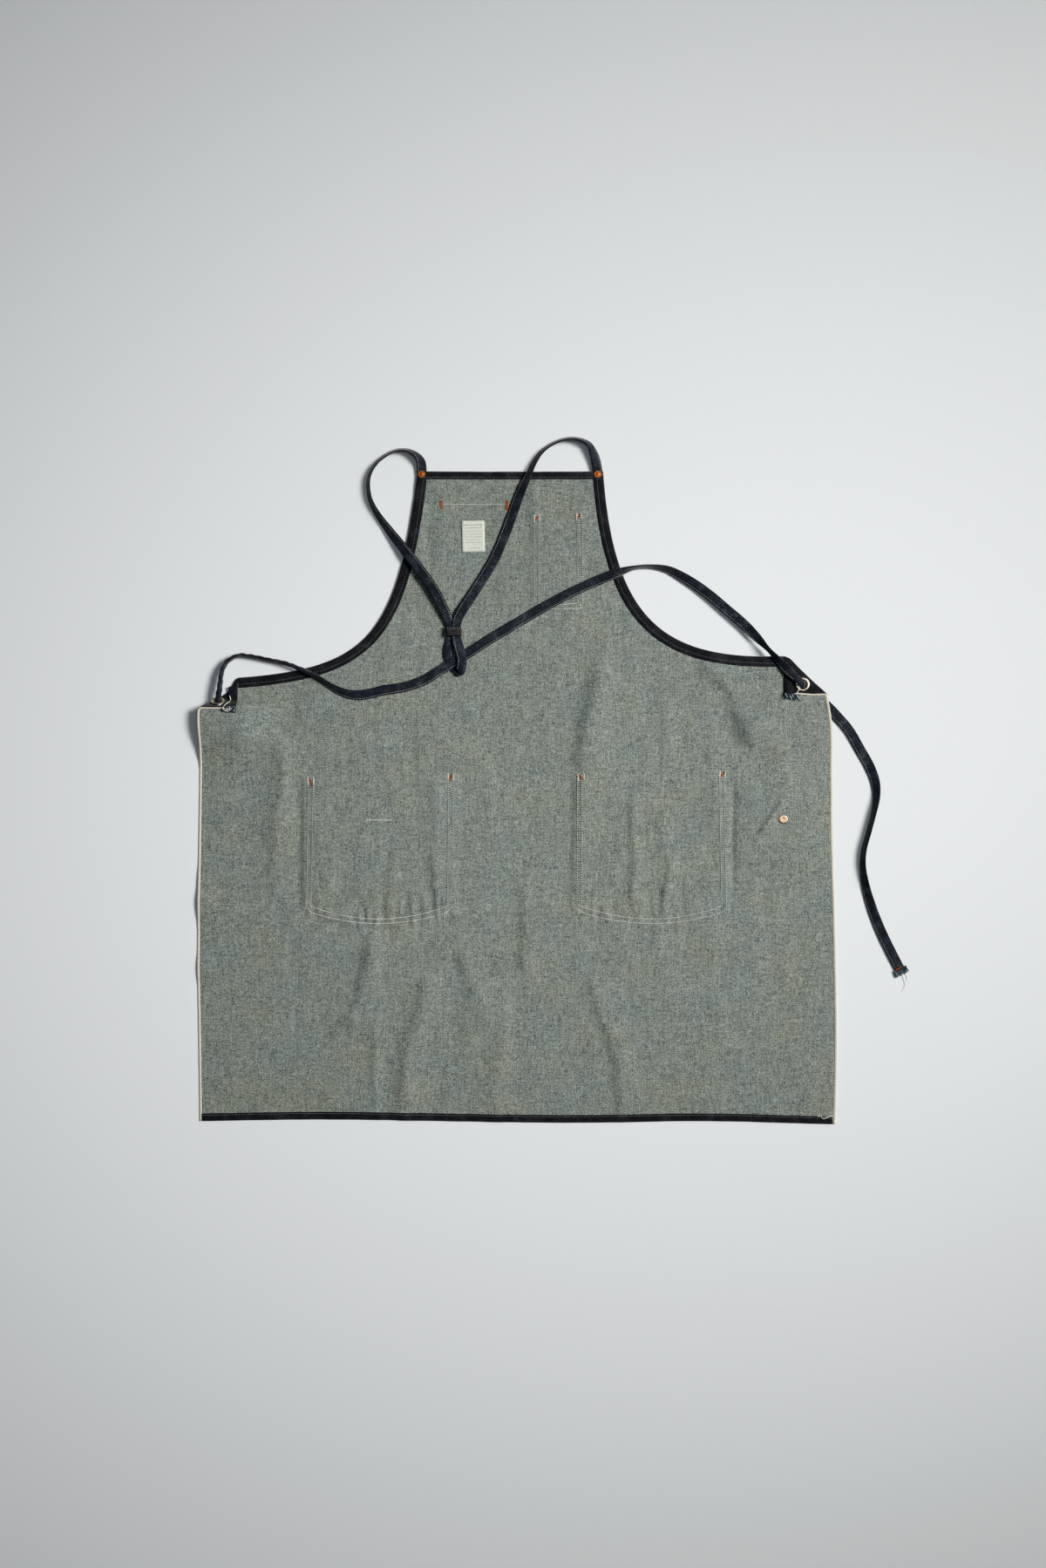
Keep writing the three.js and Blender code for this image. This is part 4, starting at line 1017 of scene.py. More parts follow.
def tape_row(route, side, pitch, length, width):
    """Stitches along one edge of a tape, on both of its faces."""
    row = []
    for face in (1, -1):
        line = []
        ups = []
        for centre, across, through, wide in tape_frames(route, pitch)[1:-1]:
            line.append(centre + across * side * (wide / 2 - TAPE_SEAM) + through * face * TAPE_FACE)
            ups.append(through * face)
        row += stitch_row(line, length, width, ups)
    return row


STRAND_STEPS = 4
STRAND_SIDES = 5
STRAND_TAPER = 0.4


def strand(bm, points, radius):
    """Adds one thread along a short line, thinner towards its end."""
    centres = spline(points, STRAND_STEPS)
    runs = np.gradient(centres, axis=0)
    rings = []
    for i, (centre, run) in enumerate(zip(centres, runs)):
        run = Vector(run).normalized()
        side = run.orthogonal().normalized()
        other = run.cross(side)
        thick = radius * (1 - STRAND_TAPER * i / len(centres))
        turns = [2 * math.pi * k / STRAND_SIDES for k in range(STRAND_SIDES)]
        rings.append([Vector(centre) + (side * math.cos(a) + other * math.sin(a)) * thick for a in turns])
    skin(bm, rings)


# Ragged yarns: heights of their roots and tips in millimetres, share of the full length, lean, bend, and how
# deep they start inside the cloth
ROOT_HEIGHTS = (-0.5, 0.7)
TIP_HEIGHTS = (-0.6, 0.8)
YARN_SHARES = (0.45, 1.1)
YARN_LEANS = (-0.45, 0.45)
YARN_BEND = 0.4
ROOT_DEPTH = 1.5 * MM


def fray(name, start, end, run, count, length, seed, slot, material, radius):
    """Ragged yarn ends along a cut edge: short threads from the edge, bent a little at random."""
    draw = random.Random(seed)
    bm = bmesh.new()
    start = Vector(start)
    end = Vector(end)
    run = Vector(run).normalized()
    side = (end - start).normalized()
    for i in range(count):
        root = start.lerp(end, (i + draw.random()) / count) + UP * draw.uniform(*ROOT_HEIGHTS) * MM
        reach = length * draw.uniform(*YARN_SHARES)
        lean = draw.uniform(*YARN_LEANS)
        middle = root + run * reach / 2 + side * reach * lean * YARN_BEND
        tip = root + run * reach + side * reach * lean + UP * draw.uniform(*TIP_HEIGHTS) * MM
        tip.z = max(tip.z, radius)
        strand(bm, [root - run * ROOT_DEPTH, root, middle, tip], radius)
    return piece(name, bm, slot, material)


# Tapes: the waist tie is the one free cord
def tape(name, route, pitch, seed, seam_side):
    """A tape swept along its route, with a row of stitches on one edge; gives its middle line too."""
    frames = tape_frames(route, pitch)
    bm = bmesh.new()
    skin(bm, tape_rings(frames, seed))
    made = piece(name + "_cloth", bm, "dark_denim", TAPE_DENIM_PAINTED_LIGHTER)
    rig.replaces(made, name)
    seam = tape_row(route, seam_side, *TAPE_STITCH)
    stitches = repeated(name + "_stitches", seam, "white_cotton", WHITE_THREAD)
    return made, stitches, [station[0] for station in frames]


# Yarn at ragged ends: slot, material, radius
BLUE_ENDS = ("dark_denim", BLUE_YARN, 0.5 * MM)
WHITE_ENDS = ("white_cotton", SELVEDGE, 0.4 * MM)
FINE_ENDS = ("white_cotton", SELVEDGE, 0.3 * MM)

waist_tie, tie_stitches, tie_line = tape("waist_tie", TIE_ROUTE, pitch=2.2 * MM, seed=3, seam_side=1)
tie_length = float(run_lengths(tie_line)[-1])
TIE_END = Vector(TIE_ROUTE[-1][:3])
TIE_END_RUN = (TIE_END - Vector(TIE_ROUTE[-2][:3])).normalized()
TIE_END_SIDE = TIE_END_RUN.cross(UP)
TIE_END_HALF = 8.5 * MM
tie_cut = (TIE_END - TIE_END_SIDE * TIE_END_HALF, TIE_END + TIE_END_SIDE * TIE_END_HALF, TIE_END_RUN)

# Ragged end of the tie: name, number of yarns, their length in millimetres, seed, yarn
TIE_FRAYS = [("tie_end_blue_yarn", 60, 7, 11, BLUE_ENDS), ("tie_end_white_yarn", 14, 6, 12, FINE_ENDS)]
tie_frays = []
for name, count, length, seed, yarn in TIE_FRAYS:
    tie_frays.append(fray(name, *tie_cut, count, length * MM, seed, *yarn))
tape("neck_strap", NECK_ROUTE, pitch=2.0 * MM, seed=8, seam_side=-1)


CORNER_POINTS = 6


def rounded_loop(width, height, corner):
    """Points round a rectangle with round corners, in its own plane."""
    points = []
    for quarter, (sx, sy) in enumerate(((1, 1), (-1, 1), (-1, -1), (1, -1))):
        for k in range(CORNER_POINTS):
            angle = math.pi / 2 * (quarter + k / (CORNER_POINTS - 1))
            x = sx * (width / 2 - corner) + corner * math.cos(angle)
            y = sy * (height / 2 - corner) + corner * math.sin(angle)
            points.append((x, y))
    return points


# Keeper round both legs of the neck strap. Section of its wall: share of the wall outwards, share of its
# length
KEEPER_WALL = 1.0 * MM
KEEPER_SECTION = [(0, -0.5), (0.35, -0.5), (0.7, -0.44), (0.75, 0.0), (0.7, 0.44), (0.35, 0.5), (0, 0.5),
                  (-0.3, 0.4), (-0.3, -0.4)]
KEEPER_CORNER = 1.6 * MM
KEEPER_SEAM = 3.6 * MM
KEEPER_STITCH_LIFT = 0.35 * MM
KEEPER_STITCH = (2.0 * MM, 0.7 * MM)
KEEPER_STITCH_PLACES = np.arange(-7.5, 7.6, 3)  # millimetres from its middle


def strap_keeper():
    """Band sewn round both legs of the neck strap: a wall with soft edges swept round a flat loop."""
    middle = Vector((KEEPER["x"], KEEPER["y"], KEEPER["z"] + KEEPER["height"] / 2))
    loop = rounded_loop(KEEPER["width"] - KEEPER_WALL, KEEPER["height"] - KEEPER_WALL, KEEPER_CORNER)
    rings = []
    for i, (x, z) in enumerate(loop):
        run = (Vector(loop[(i + 1) % len(loop)]) - Vector(loop[i - 1])).normalized()
        out = Vector((run.y, 0, -run.x)) * KEEPER_WALL
        spot = middle + Vector((x, 0, z))
        rings.append([spot + out * d + Vector((0, w * KEEPER["length"], 0)) for d, w in KEEPER_SECTION])
    bm = bmesh.new()
    skin(bm, rings, loop=True)
    return piece("strap_keeper_cloth", bm, "dark_denim", KEEPER_TAPE)


keeper = strap_keeper()
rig.replaces(keeper, "strap_keeper")
keeper_top = KEEPER["z"] + KEEPER["height"] + KEEPER_STITCH_LIFT
keeper_seam = KEEPER["y"] + KEEPER_SEAM
keeper_line = [(KEEPER["x"] + x * MM, keeper_seam, keeper_top) for x in KEEPER_STITCH_PLACES]
repeated("strap_keeper_stitches", stitch_row(keeper_line, *KEEPER_STITCH), "white_cotton", GREY_THREAD)


# Panel
def inside(points, outline):
    """Which points in plan lie inside a closed outline."""
    x, y = points.T
    found = np.zeros(len(points), bool)
    for (x0, y0), (x1, y1) in zip(outline, np.roll(outline, -1, axis=0)):
        if y0 != y1:
            crossing = x0 + (y - y0) / (y1 - y0) * (x1 - x0)
            found ^= ((y0 > y) != (y1 > y)) & (x < crossing)
    return found


def nearest_points(points, path):
    """The nearest point of a line in plan to each point."""
    best = np.full(len(points), np.inf)
    spots = points.copy()
    for a, b in zip(path[:-1], path[1:]):
        run = b - a
        t = np.clip((points - a) @ run / (run @ run), 0, 1)[:, None]
        spot = a + run * t
        away = np.linalg.norm(points - spot, axis=1)
        nearer = away < best
        best[nearer] = away[nearer]
        spots[nearer] = spot[nearer]
    return spots


def open_hole(bm, middle, squeeze):
    """Opens a round hole for an eyelet; in plan its length along Y is squeezed where the cloth slopes."""
    middle = np.array(middle)
    stretch = np.array([1, 1 / squeeze])
    lost = []
    for face in bm.faces:
        away = (np.array(face.calc_center_median()[:2]) - middle) * stretch
        if away @ away < EYELET_HOLE ** 2:
            lost.append(face)
    bmesh.ops.delete(bm, geom=lost, context="FACES")
    rim = [vertex for vertex in bm.verts if vertex.is_boundary]
    for vertex in rim:
        away = (np.array(vertex.co[:2]) - middle) * stretch
        far = math.sqrt(away @ away)
        if far < EYELET_RIM:
            spot = middle + away * EYELET_BARREL / max(far, 1e-6) / stretch
            vertex.co = (spot[0], spot[1], vertex.co.z)


# Slope of the cloth at the left eyelet
LEFT_SLOPE = math.atan2(LEFT_RAMP["crest"] - LEFT_RAMP["foot"], LEFT_RAMP["foot_y"] - LEFT_RAMP["crest_y"])

# Grid of the panel: its pitch, the finer pitch over the sewn ranges, the room it leaves for the selvedges, how
# far the shape of each hem reaches into it, and a distance well outside it
PANEL_PITCH = 4.2 * MM
SEWN_PITCH = 2.3 * MM
SEWN_COLUMNS = [(-0.275, -0.063), (0.059, 0.272), (0.290, 0.330)]
SEWN_ROWS = [(-0.189, -0.155), (-0.070, -0.028), (0.082, 0.106)]
PITCH_MARKS = 2000
EDGE_ROOM = 0.6 * MM
BOTTOM_BLEND = 0.08
BIB_BLEND = 0.04
FAR = 0.5


def grid_lines(low, high, sewn):
    """Places of grid lines from low to high, closer together over the sewn ranges."""
    marks = np.linspace(low, high, PITCH_MARKS)
    pitch = np.full(marks.shape, PANEL_PITCH)
    for start, end in sewn:
        pitch[(marks > start) & (marks < end)] = SEWN_PITCH
    count = np.concatenate([[0], np.cumsum(np.diff(marks) / pitch[1:])])
    return np.interp(np.linspace(0, count[-1], round(count[-1]) + 1), count, marks)


def body_panel():
    """Grid over the panel, cut away along the armholes, with the eyelet holes opened."""
    low = BOTTOM[0][1]
    half = RIGHT_SIDE[-1][0]
    lines_x = grid_lines(-half, half, SEWN_COLUMNS)
    lines_y = grid_lines(low, BIB_TOP, SEWN_ROWS)
    bm = bmesh.new()
    # Nearness to the pockets' side seams: the cloth's material paints slight shade from it and bumps the cloth more
    # there
    nearness = bm.verts.layers.float.new("seam")
    spots = grid_spots(bm, len(lines_x) - 1, len(lines_y) - 1)
    y = np.array([lines_y[row] for _, row in spots.values()])
    share = np.array([lines_x[col] for col, _ in spots.values()]) / half / 2 + 0.5
    left = np.interp(y, left_side[:, 1], left_side[:, 0]) + EDGE_ROOM
    right = np.interp(-y, -right_side[:, 1], right_side[:, 0]) - EDGE_ROOM
    x = left + share * (right - left)
    hem = np.interp(x, bottom_edge[::-1, 0], bottom_edge[::-1, 1]) - low + PLY
    raised = hem * smooth(1 - (y - low) / BOTTOM_BLEND)
    y = y + raised - PLY * smooth((y - BIB_TOP + BIB_BLEND) / BIB_BLEND)
    points = np.stack([x, y], axis=1)
    edges = [inset(left_edge, PLY), inset(right_edge, PLY)]
    cut = np.vstack(edges)
    below = np.array([(FAR, cut[-1][1]), (FAR, -FAR), (-FAR, -FAR), (-FAR, cut[0][1])])
    beyond = ~inside(points, np.vstack([cut, below]))
    beyond &= y > cut[0][1]
    for edge, side in zip(edges, (x < 0, x >= 0)):
        points[beyond & side] = nearest_points(points[beyond & side], edge)
    heights = lie(points[:, 0], points[:, 1])
    seams = seam_shares(points[:, 0], points[:, 1])[0]
    for vertex, point, height, seam in zip(spots, points, heights, seams):
        vertex.co = (point[0], point[1], height + CLOTH)
        vertex[nearness] = seam
    outer = {vertex for vertex, out in zip(spots, beyond) if out}
    lost = [face for face in bm.faces if all(vertex in outer for vertex in face.verts)]
    bmesh.ops.delete(bm, geom=lost, context="FACES")
    open_hole(bm, LEFT_EYELET, math.cos(LEFT_SLOPE))
    open_hole(bm, RIGHT_EYELET, 1)
    upper_face = BVHTree.FromBMesh(bm)
    made = piece("body_panel_cloth", bm, "pale_denim", PALE, DARK)
    thicken(made, CLOTH)
    return made, upper_face


panel, panel_face = body_panel()
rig.replaces(panel, "body_panel")


def on_panel(points, lift):
    """A line in plan, laid on the panel's upper face as it was meshed."""
    spots = []
    for x, y in points:
        hit = panel_face.ray_cast(Vector((x, y, 1)), Vector((0, 0, -1)))[0]
        spots.append((x, y, (hit.z if hit else float(lie(x, y)) + CLOTH) + lift))
    return np.array(spots)


# Sections along an edge: distance inwards, and height above the panel's underside
TURNED_HEM = [
    (HEM_WIDTH, PLY), (HEM_WIDTH + 0.1 * MM, STACK - 0.2 * MM), (HEM_WIDTH - 0.5 * MM, STACK + 0.1 * MM),
    (6.5 * MM, STACK), (4.5 * MM, STACK + 0.25 * MM), (1.6 * MM, STACK + 0.2 * MM),
    (0.5 * MM, STACK - 0.3 * MM), (0.0, CLOTH), (0.5 * MM, 0.3 * MM), (1.4 * MM, 0.0), (1.5 * MM, 1.1 * MM),
    (2.0 * MM, PLY),
]
ROUND_THE_FOLD = TURNED_HEM[6:11]
BOUND_EDGE = [
    (BINDING_WIDTH, PLY), (BINDING_WIDTH + 0.1 * MM, STACK - 0.2 * MM),
    (BINDING_WIDTH - 0.6 * MM, STACK + 0.1 * MM), (8 * MM, STACK), (5 * MM, STACK + 0.35 * MM),
    (2 * MM, STACK + 0.25 * MM), (0.6 * MM, STACK - 0.3 * MM), (0.0, CLOTH / 2), (0.6 * MM, -PLY + 0.3 * MM),
    (2 * MM, -PLY), (BINDING_WIDTH, -PLY), (BINDING_WIDTH, -GAP), (1.5 * MM, -GAP), (1.5 * MM, PLY),
]
FLAP_TAPE = [
    (FLAP_BINDING_WIDTH, STACK + GAP), (FLAP_BINDING_WIDTH, STACK + 1.2 * MM), (9.3 * MM, STACK + 1.6 * MM),
    (5 * MM, STACK + 1.5 * MM), (0.7 * MM, STACK + 1.6 * MM), (0.0, STACK + 1.0 * MM),
    (0.2 * MM, STACK + GAP),
]
SELVEDGE_BAND = [
    (3.0 * MM, CLOTH + 0.05 * MM), (2.9 * MM, CLOTH + 0.35 * MM), (1.7 * MM, CLOTH + 0.5 * MM),
    (0.4 * MM, CLOTH + 0.4 * MM), (-0.2 * MM, 0.7 * MM), (0.1 * MM, 0.05 * MM), (0.5 * MM, 0.05 * MM),
    (0.55 * MM, CLOTH + 0.05 * MM),
]
FLAP_SELVEDGE_SHARE = 0.65
FLAP_SELVEDGE = [(inwards * FLAP_SELVEDGE_SHARE, lift + PLY) for inwards, lift in SELVEDGE_BAND]
EDGE_PITCH = 3 * MM


def edge_strip(name, path, section, slot="dark_denim", material=DARK):
    """A strip of one section laid along an edge of the cloth."""
    bm = bmesh.new()
    skin(bm, along_edge(evenly(path, EDGE_PITCH), section))
    return piece(name, bm, slot, material)


def selvedge_strip(name, path, section):
    """A band of undyed yarn along an edge that the loom finished."""
    edge_strip(name, path, section, "white_cotton", SELVEDGE)


BIB_HEM_OVERLAP = 3 * MM
bib_room = BINDING_WIDTH - BIB_HEM_OVERLAP
bib_edge = np.array([(left_armhole[-1][0] + bib_room, BIB_TOP), (right_armhole[0][0] - bib_room, BIB_TOP)])
strips = []
for name, path, section in (
    ("bottom_hem", bottom_edge, TURNED_HEM), ("bib_hem", bib_edge, TURNED_HEM),
    ("armhole_binding_left", left_armhole, BOUND_EDGE), ("armhole_binding_right", right_armhole, BOUND_EDGE),
):
    made = edge_strip(name + "_cloth", path, section)
    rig.replaces(made, name)
    strips.append(made)

# Selvedges, the right one with short tan rungs across it
RUNG_INSET = 1.3 * MM
RUNG_PITCH = 2.2 * MM
RUNG_LIFT = CLOTH + 0.45 * MM
RUNG = (1.8 * MM, 0.8 * MM)
selvedge_strip("selvedge_left", left_side, SELVEDGE_BAND)
selvedge_strip("selvedge_right", right_side, SELVEDGE_BAND)
rung_line = on_cloth(evenly(inset(right_side, RUNG_INSET), RUNG_PITCH), RUNG_LIFT)
rungs = [stitch(point, (1, 0, 0), UP, *RUNG) for point in rung_line[2:-2]]
repeated("selvedge_right_rungs", rungs, "white_cotton", TAN_YARN)

# Turned corners: the panel's corner folded onto its back, with the end of the armhole tape on its inner edge
FLAP_ROWS = 14
FLAP_PITCH = 0.06 / 26
FOLD_ROOM = 1.5 * MM


def corner_flap(name, path, lower, hole, squeeze):
    """Upper face from the lower edge to the fold, round the fold, and back along the under face."""
    path = evenly(path, FLAP_PITCH)
    depths = np.linspace(0, 1, FLAP_ROWS)
    faces = []
    for lift, shares in ((STACK, depths[:-1]), (PLY, depths[-2::-1])):
        for share in shares:
            line = path.copy()
            line[:, 1] = lower + (path[:, 1] - FOLD_ROOM - lower) * share
            faces.append((line, lift))
    fold = [(inset(path, d), lift) for d, lift in ROUND_THE_FOLD]
    sheets = faces[:FLAP_ROWS - 1] + fold + faces[FLAP_ROWS - 1:]
    rings = [[] for _ in path]
    for line, lift in sheets:
        for ring, point in zip(rings, on_cloth(line, lift)):
            ring.append(Vector(point))
    bm = bmesh.new()
    skin(bm, rings)
    open_hole(bm, hole, squeeze)
    bmesh.ops.bridge_loops(bm, edges=[edge for edge in bm.edges if edge.is_boundary])
    bmesh.ops.recalc_face_normals(bm, faces=bm.faces)
    return piece(name, bm, "dark_denim", DARK)


flaps = []
for name, path, lower, hole, slope in (
    ("corner_flap_left", left_corner, FLAP_LEFT["lower"], LEFT_EYELET, LEFT_SLOPE),
    ("corner_flap_right", right_corner, FLAP_RIGHT["lower"], RIGHT_EYELET, 0),
):
    made = corner_flap(name + "_cloth", path, lower, hole, math.cos(slope))
    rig.replaces(made, name)
    flaps.append(made)
LEFT_TAPE_LINE = [(FLAP_LEFT["inner"], 0.115), (FLAP_LEFT["inner"], 0.086)]
RIGHT_TAPE_LINE = [(FLAP_RIGHT["inner"], 0.103), (FLAP_RIGHT["inner"], 0.140)]
for name, line in (("flap_binding_left", LEFT_TAPE_LINE), ("flap_binding_right", RIGHT_TAPE_LINE)):
    made = edge_strip(name + "_cloth", line, FLAP_TAPE)
    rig.replaces(made, name)
selvedge_strip("flap_selvedge_left", [(-0.354, 0.0876), (-0.370, 0.0872), (-0.3885, 0.0876)], FLAP_SELVEDGE)
selvedge_strip("flap_selvedge_right", [(0.3815, 0.1045), (0.362, 0.1040), (0.341, 0.1055)], FLAP_SELVEDGE)


# Pockets and label
def cloth_patch(name, columns, rows, place, lift, thickness, slot, *materials):
    """A thin sheet that follows the panel: place gives x and y from two shares between 0 and 1."""
    bm = bmesh.new()
    spots = grid_spots(bm, columns, rows)
    plan = np.array([place(col / columns, row / rows) for col, row in spots.values()])
    for vertex, point in zip(spots, on_cloth(plan, lift)):
        vertex.co = point
    made = piece(name, bm, slot, *materials)
    thicken(made, thickness)
    return made


def pocket_place(row):
    """Gives the function that finds a place on this pocket from its two shares."""
    def place(u, v):
        across = 2 * u - 1
        lower = row["side"] - row["sag"] * (1 - across ** 2)
        return row["left"] + u * (row["right"] - row["left"]), lower + v * (row["top"] - lower)
    return place


def label_place(u, v):
    """A place on the label from its two shares."""
    x = (u - 0.5) * LABEL["width"]
    y = (v - 0.5) * LABEL["height"]
    c = math.cos(LABEL["turn"])
    s = math.sin(LABEL["turn"])
    return LABEL["x"] + x * c - y * s, LABEL["y"] + x * s + y * c


POCKET_GRID = (30, 30)
LABEL_GRID = (10, 14)
LABEL_THICKNESS = 0.6 * MM
LABEL_LIFT = PLY + 0.8 * MM
pockets = []
for row in POCKETS:
    place = pocket_place(row)
    made = cloth_patch(row["name"] + "_cloth", *POCKET_GRID, place, -GAP, CLOTH, "dark_denim", PALE, DARK)
    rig.replaces(made, row["name"])
    pockets.append(made)
label = cloth_patch("label_patch_cloth", *LABEL_GRID, label_place, LABEL_LIFT, LABEL_THICKNESS,
                    "white_cotton", LABEL_COTTON)
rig.replaces(label, "label_patch")

# Generic woven lines on the label in millimetres: distance from its middle, half length, thickness
LABEL_LINES = [
    (14.0, 11, 1.0), (10.2, 10, 0.8), (6.2, 10, 0.6), (2.8, 9, 0.6), (-0.6, 10, 0.6), (-4.0, 8, 0.6),
    (-7.4, 9, 0.6), (-14.5, 7, 0.6),
]
LINE_LIFT = LABEL_LIFT + 0.05 * MM
LINE_PITCH = 1.6 * MM
LINE_STITCH = 1.5 * MM
marks = []
for offset, half, thick in LABEL_LINES:
    v = 0.5 + offset * MM / LABEL["height"]
    ends = [label_place(0.5 + side * half * MM / LABEL["width"], v) for side in (-1, 1)]
    marks += cloth_row(ends, LINE_LIFT, LINE_PITCH, LINE_STITCH, thick * MM)
repeated("label_lines", marks, "white_cotton", LABEL_YARN)

# Sewing round the pockets: white stitches with dark marks between them at the sides, painted shade where the needle
# holes sink into the cloth, and longer stitches along the round edge. A stitch or dark mark is a length and a width
SIDE_PITCH = 1.45 * MM
SIDE_STITCH = (1.6 * MM, 1.45 * MM)
NEEDLE_HOLE_SHADE = (1.2 * MM, 1.4 * MM)
HOLE_LIFT = 0.25 * MM
STITCH_RISE = np.array([0, 0, 0.15 * MM])
ROUND_PITCH = 2.6 * MM
ROUND_STITCH = (2.0 * MM, 1.15 * MM)
ROUND_LIFT = 0.3 * MM
INNER_CORNER = 1 * MM
stitches = []
hole_shades = []
for row in POCKETS:
    for inwards, corner in zip(SEAM_INSETS, (row["corner"], INNER_CORNER)):
        line = pocket_line(row, inwards, corner)
        for side in (line[:2], line[-2:]):
            spots = on_panel(evenly(side, SIDE_PITCH), HOLE_LIFT)
            stitches += stitch_row(spots[::2] + STITCH_RISE, *SIDE_STITCH)
            # Dark lozenges between the stitches: painted shade in the needle holes.
            hole_shades += stitch_row(spots[1::2], *NEEDLE_HOLE_SHADE)
        stitches += stitch_row(on_panel(evenly(line[1:-1], ROUND_PITCH), ROUND_LIFT), *ROUND_STITCH)
repeated("pocket_stitches", stitches, "white_cotton", WHITE_THREAD)
repeated("pocket_needle_hole_shades", hole_shades, "dark_denim", DARK)


# Sewing along the edges, in millimetres: distance from the edge, height, pitch, length, width
def edge_stitches(name, paths, row):
    """Grey stitches on the turned or bound edges of the cloth."""
    inwards, lift, pitch, length, width = np.array(row) * MM
    made = []
    for path in paths:
        line = inset(evenly(path, EDGE_PITCH), inwards)
        made += cloth_row(line, STACK + lift, pitch, length, width)
    repeated(name, made, "white_cotton", GREY_THREAD)


edge_stitches("hem_stitches", (bottom_edge, bib_edge), (7.5, 0.1, 2.3, 1.5, 0.65))
edge_stitches("binding_stitches", (left_armhole, right_armhole), (8.4, 0.15, 2.6, 1.1, 0.7))

# Rows that hold something on the hidden front: ends, then height, pitch, length and width in millimetres
PANEL_ROWS = [
    ([(-0.0925, 0.3385), (-0.0120, 0.3390)], 0.15, 2.2, 2.1, 0.9),
    ([(-0.1834, -0.0485), (-0.1547, -0.0485)], 0.3, 2.4, 2.8, 1.2),
]
panel_stitches = []
for ends, lift, pitch, length, width in PANEL_ROWS:
    panel_stitches += stitch_row(on_panel(evenly(ends, pitch * MM), lift * MM), length * MM, width * MM)
repeated("panel_stitches", panel_stitches, "white_cotton", WHITE_THREAD)

# Bar tacks, a bundle of threads across a short line: x, y, length and width in millimetres, and the lean of
# the line in degrees from +Y
ORANGE_TACKS = [
    (-0.0925, 0.3380, 8.5, 5.6, 4), (-0.0120, 0.3375, 11.0, 5.6, -6),
    (0.0246, 0.3215, 9.5, 3.0, -46), (0.0760, 0.3237, 9.5, 3.0, -46),
    (-0.2525, -0.0016, 9.5, 3.0, 30), (-0.0813, 0.0037, 10.0, 3.0, -42),
    (0.0788, 0.0037, 9.0, 3.0, 48), (0.2521, 0.0070, 10.0, 3.0, -46),
]
WHITE_TACKS = [
    (0.0216, 0.3215, 8.0, 2.1, 0), (0.0276, 0.3225, 7.0, 1.9, 0), (0.0732, 0.3237, 8.0, 2.1, 0),
    (0.0790, 0.3245, 7.0, 1.9, 0), (-0.2562, -0.0010, 8.0, 2.1, 0), (-0.2492, -0.0010, 7.0, 1.9, 0),
    (-0.0845, 0.0040, 8.0, 2.1, 0), (-0.0780, 0.0045, 7.0, 1.9, 0), (0.0752, 0.0040, 8.0, 2.1, 0),
    (0.0822, 0.0045, 7.0, 1.9, 0), (0.2488, 0.0075, 8.0, 2.1, 0), (0.2555, 0.0080, 7.0, 1.9, 0),
]
TACK_PITCH = 0.75  # millimetres
TACK_TILT = 0.25
TACK_THREAD = 0.85 * MM


def bar_tacks(rows, lift):
    """Threads laid side by side across each bar tack's line."""
    made = []
    for x, y, length, width, lean in rows:
        angle = math.radians(lean)
        along = np.array([-math.sin(angle), math.cos(angle)])
        count = round(length / TACK_PITCH)
        steps = np.linspace(-0.5, 0.5, count) * length * MM
        points = on_panel(np.array([x, y]) + steps[:, None] * along, lift)
        for i, point in enumerate(points):
            tilt = TACK_TILT if i % 2 else -TACK_TILT
            made.append(stitch(point, (along[1], -along[0] + tilt, 0), UP, width * MM, TACK_THREAD))
    return made


repeated("orange_bar_tacks", bar_tacks(ORANGE_TACKS, lift=0.4 * MM), "copper", ORANGE_THREAD)
repeated("white_bar_tacks", bar_tacks(WHITE_TACKS, lift=0.45 * MM), "white_cotton", WHITE_THREAD)
TIE_TACK_INSET = 2 * MM
TIE_TACK_LIFT = 1.3 * MM
TIE_TACK_LENGTH = 2.0 * MM
TIE_TACK_PLACES = np.arange(-3.0, 5.6, 0.8)
tack_middle = TIE_END - TIE_END_RUN * TIE_TACK_INSET + UP * TIE_TACK_LIFT
tack_spots = [tack_middle + TIE_END_SIDE * float(place) * MM for place in TIE_TACK_PLACES]
tack_threads = [stitch(spot, TIE_END_RUN, UP, TIE_TACK_LENGTH, TACK_THREAD) for spot in tack_spots]
tie_tack = repeated("tie_end_bar_tack", tack_threads, "copper", ORANGE_THREAD)

# Ragged ends of the turned corners: name, cut edge, direction, number of yarns, their length in millimetres,
# seed, yarn
CUT_LIFT = STACK + 1.2 * MM
left_foot = on_cloth([(-0.3580, 0.0890), (-0.3420, 0.0890)], CUT_LIFT)
right_foot = on_cloth([(0.3272, 0.1055), (0.3450, 0.1040)], CUT_LIFT)
CORNER_FRAYS = [
    ("left_corner_blue_yarn", left_foot, (0, -1, -0.1), 40, 6, 21, BLUE_ENDS),
    ("left_corner_white_yarn", left_foot, (-0.2, -1, 0), 12, 6, 22, WHITE_ENDS),
    ("right_corner_blue_yarn", right_foot, (0, -1, -0.1), 44, 6.5, 23, BLUE_ENDS),
    ("right_corner_white_yarn", right_foot, (0.2, -1, 0), 8, 5.5, 24, WHITE_ENDS),
]
for name, foot, run, count, length, seed, yarn in CORNER_FRAYS:
    fray(name, *foot, run, count, length * MM, seed, *yarn)

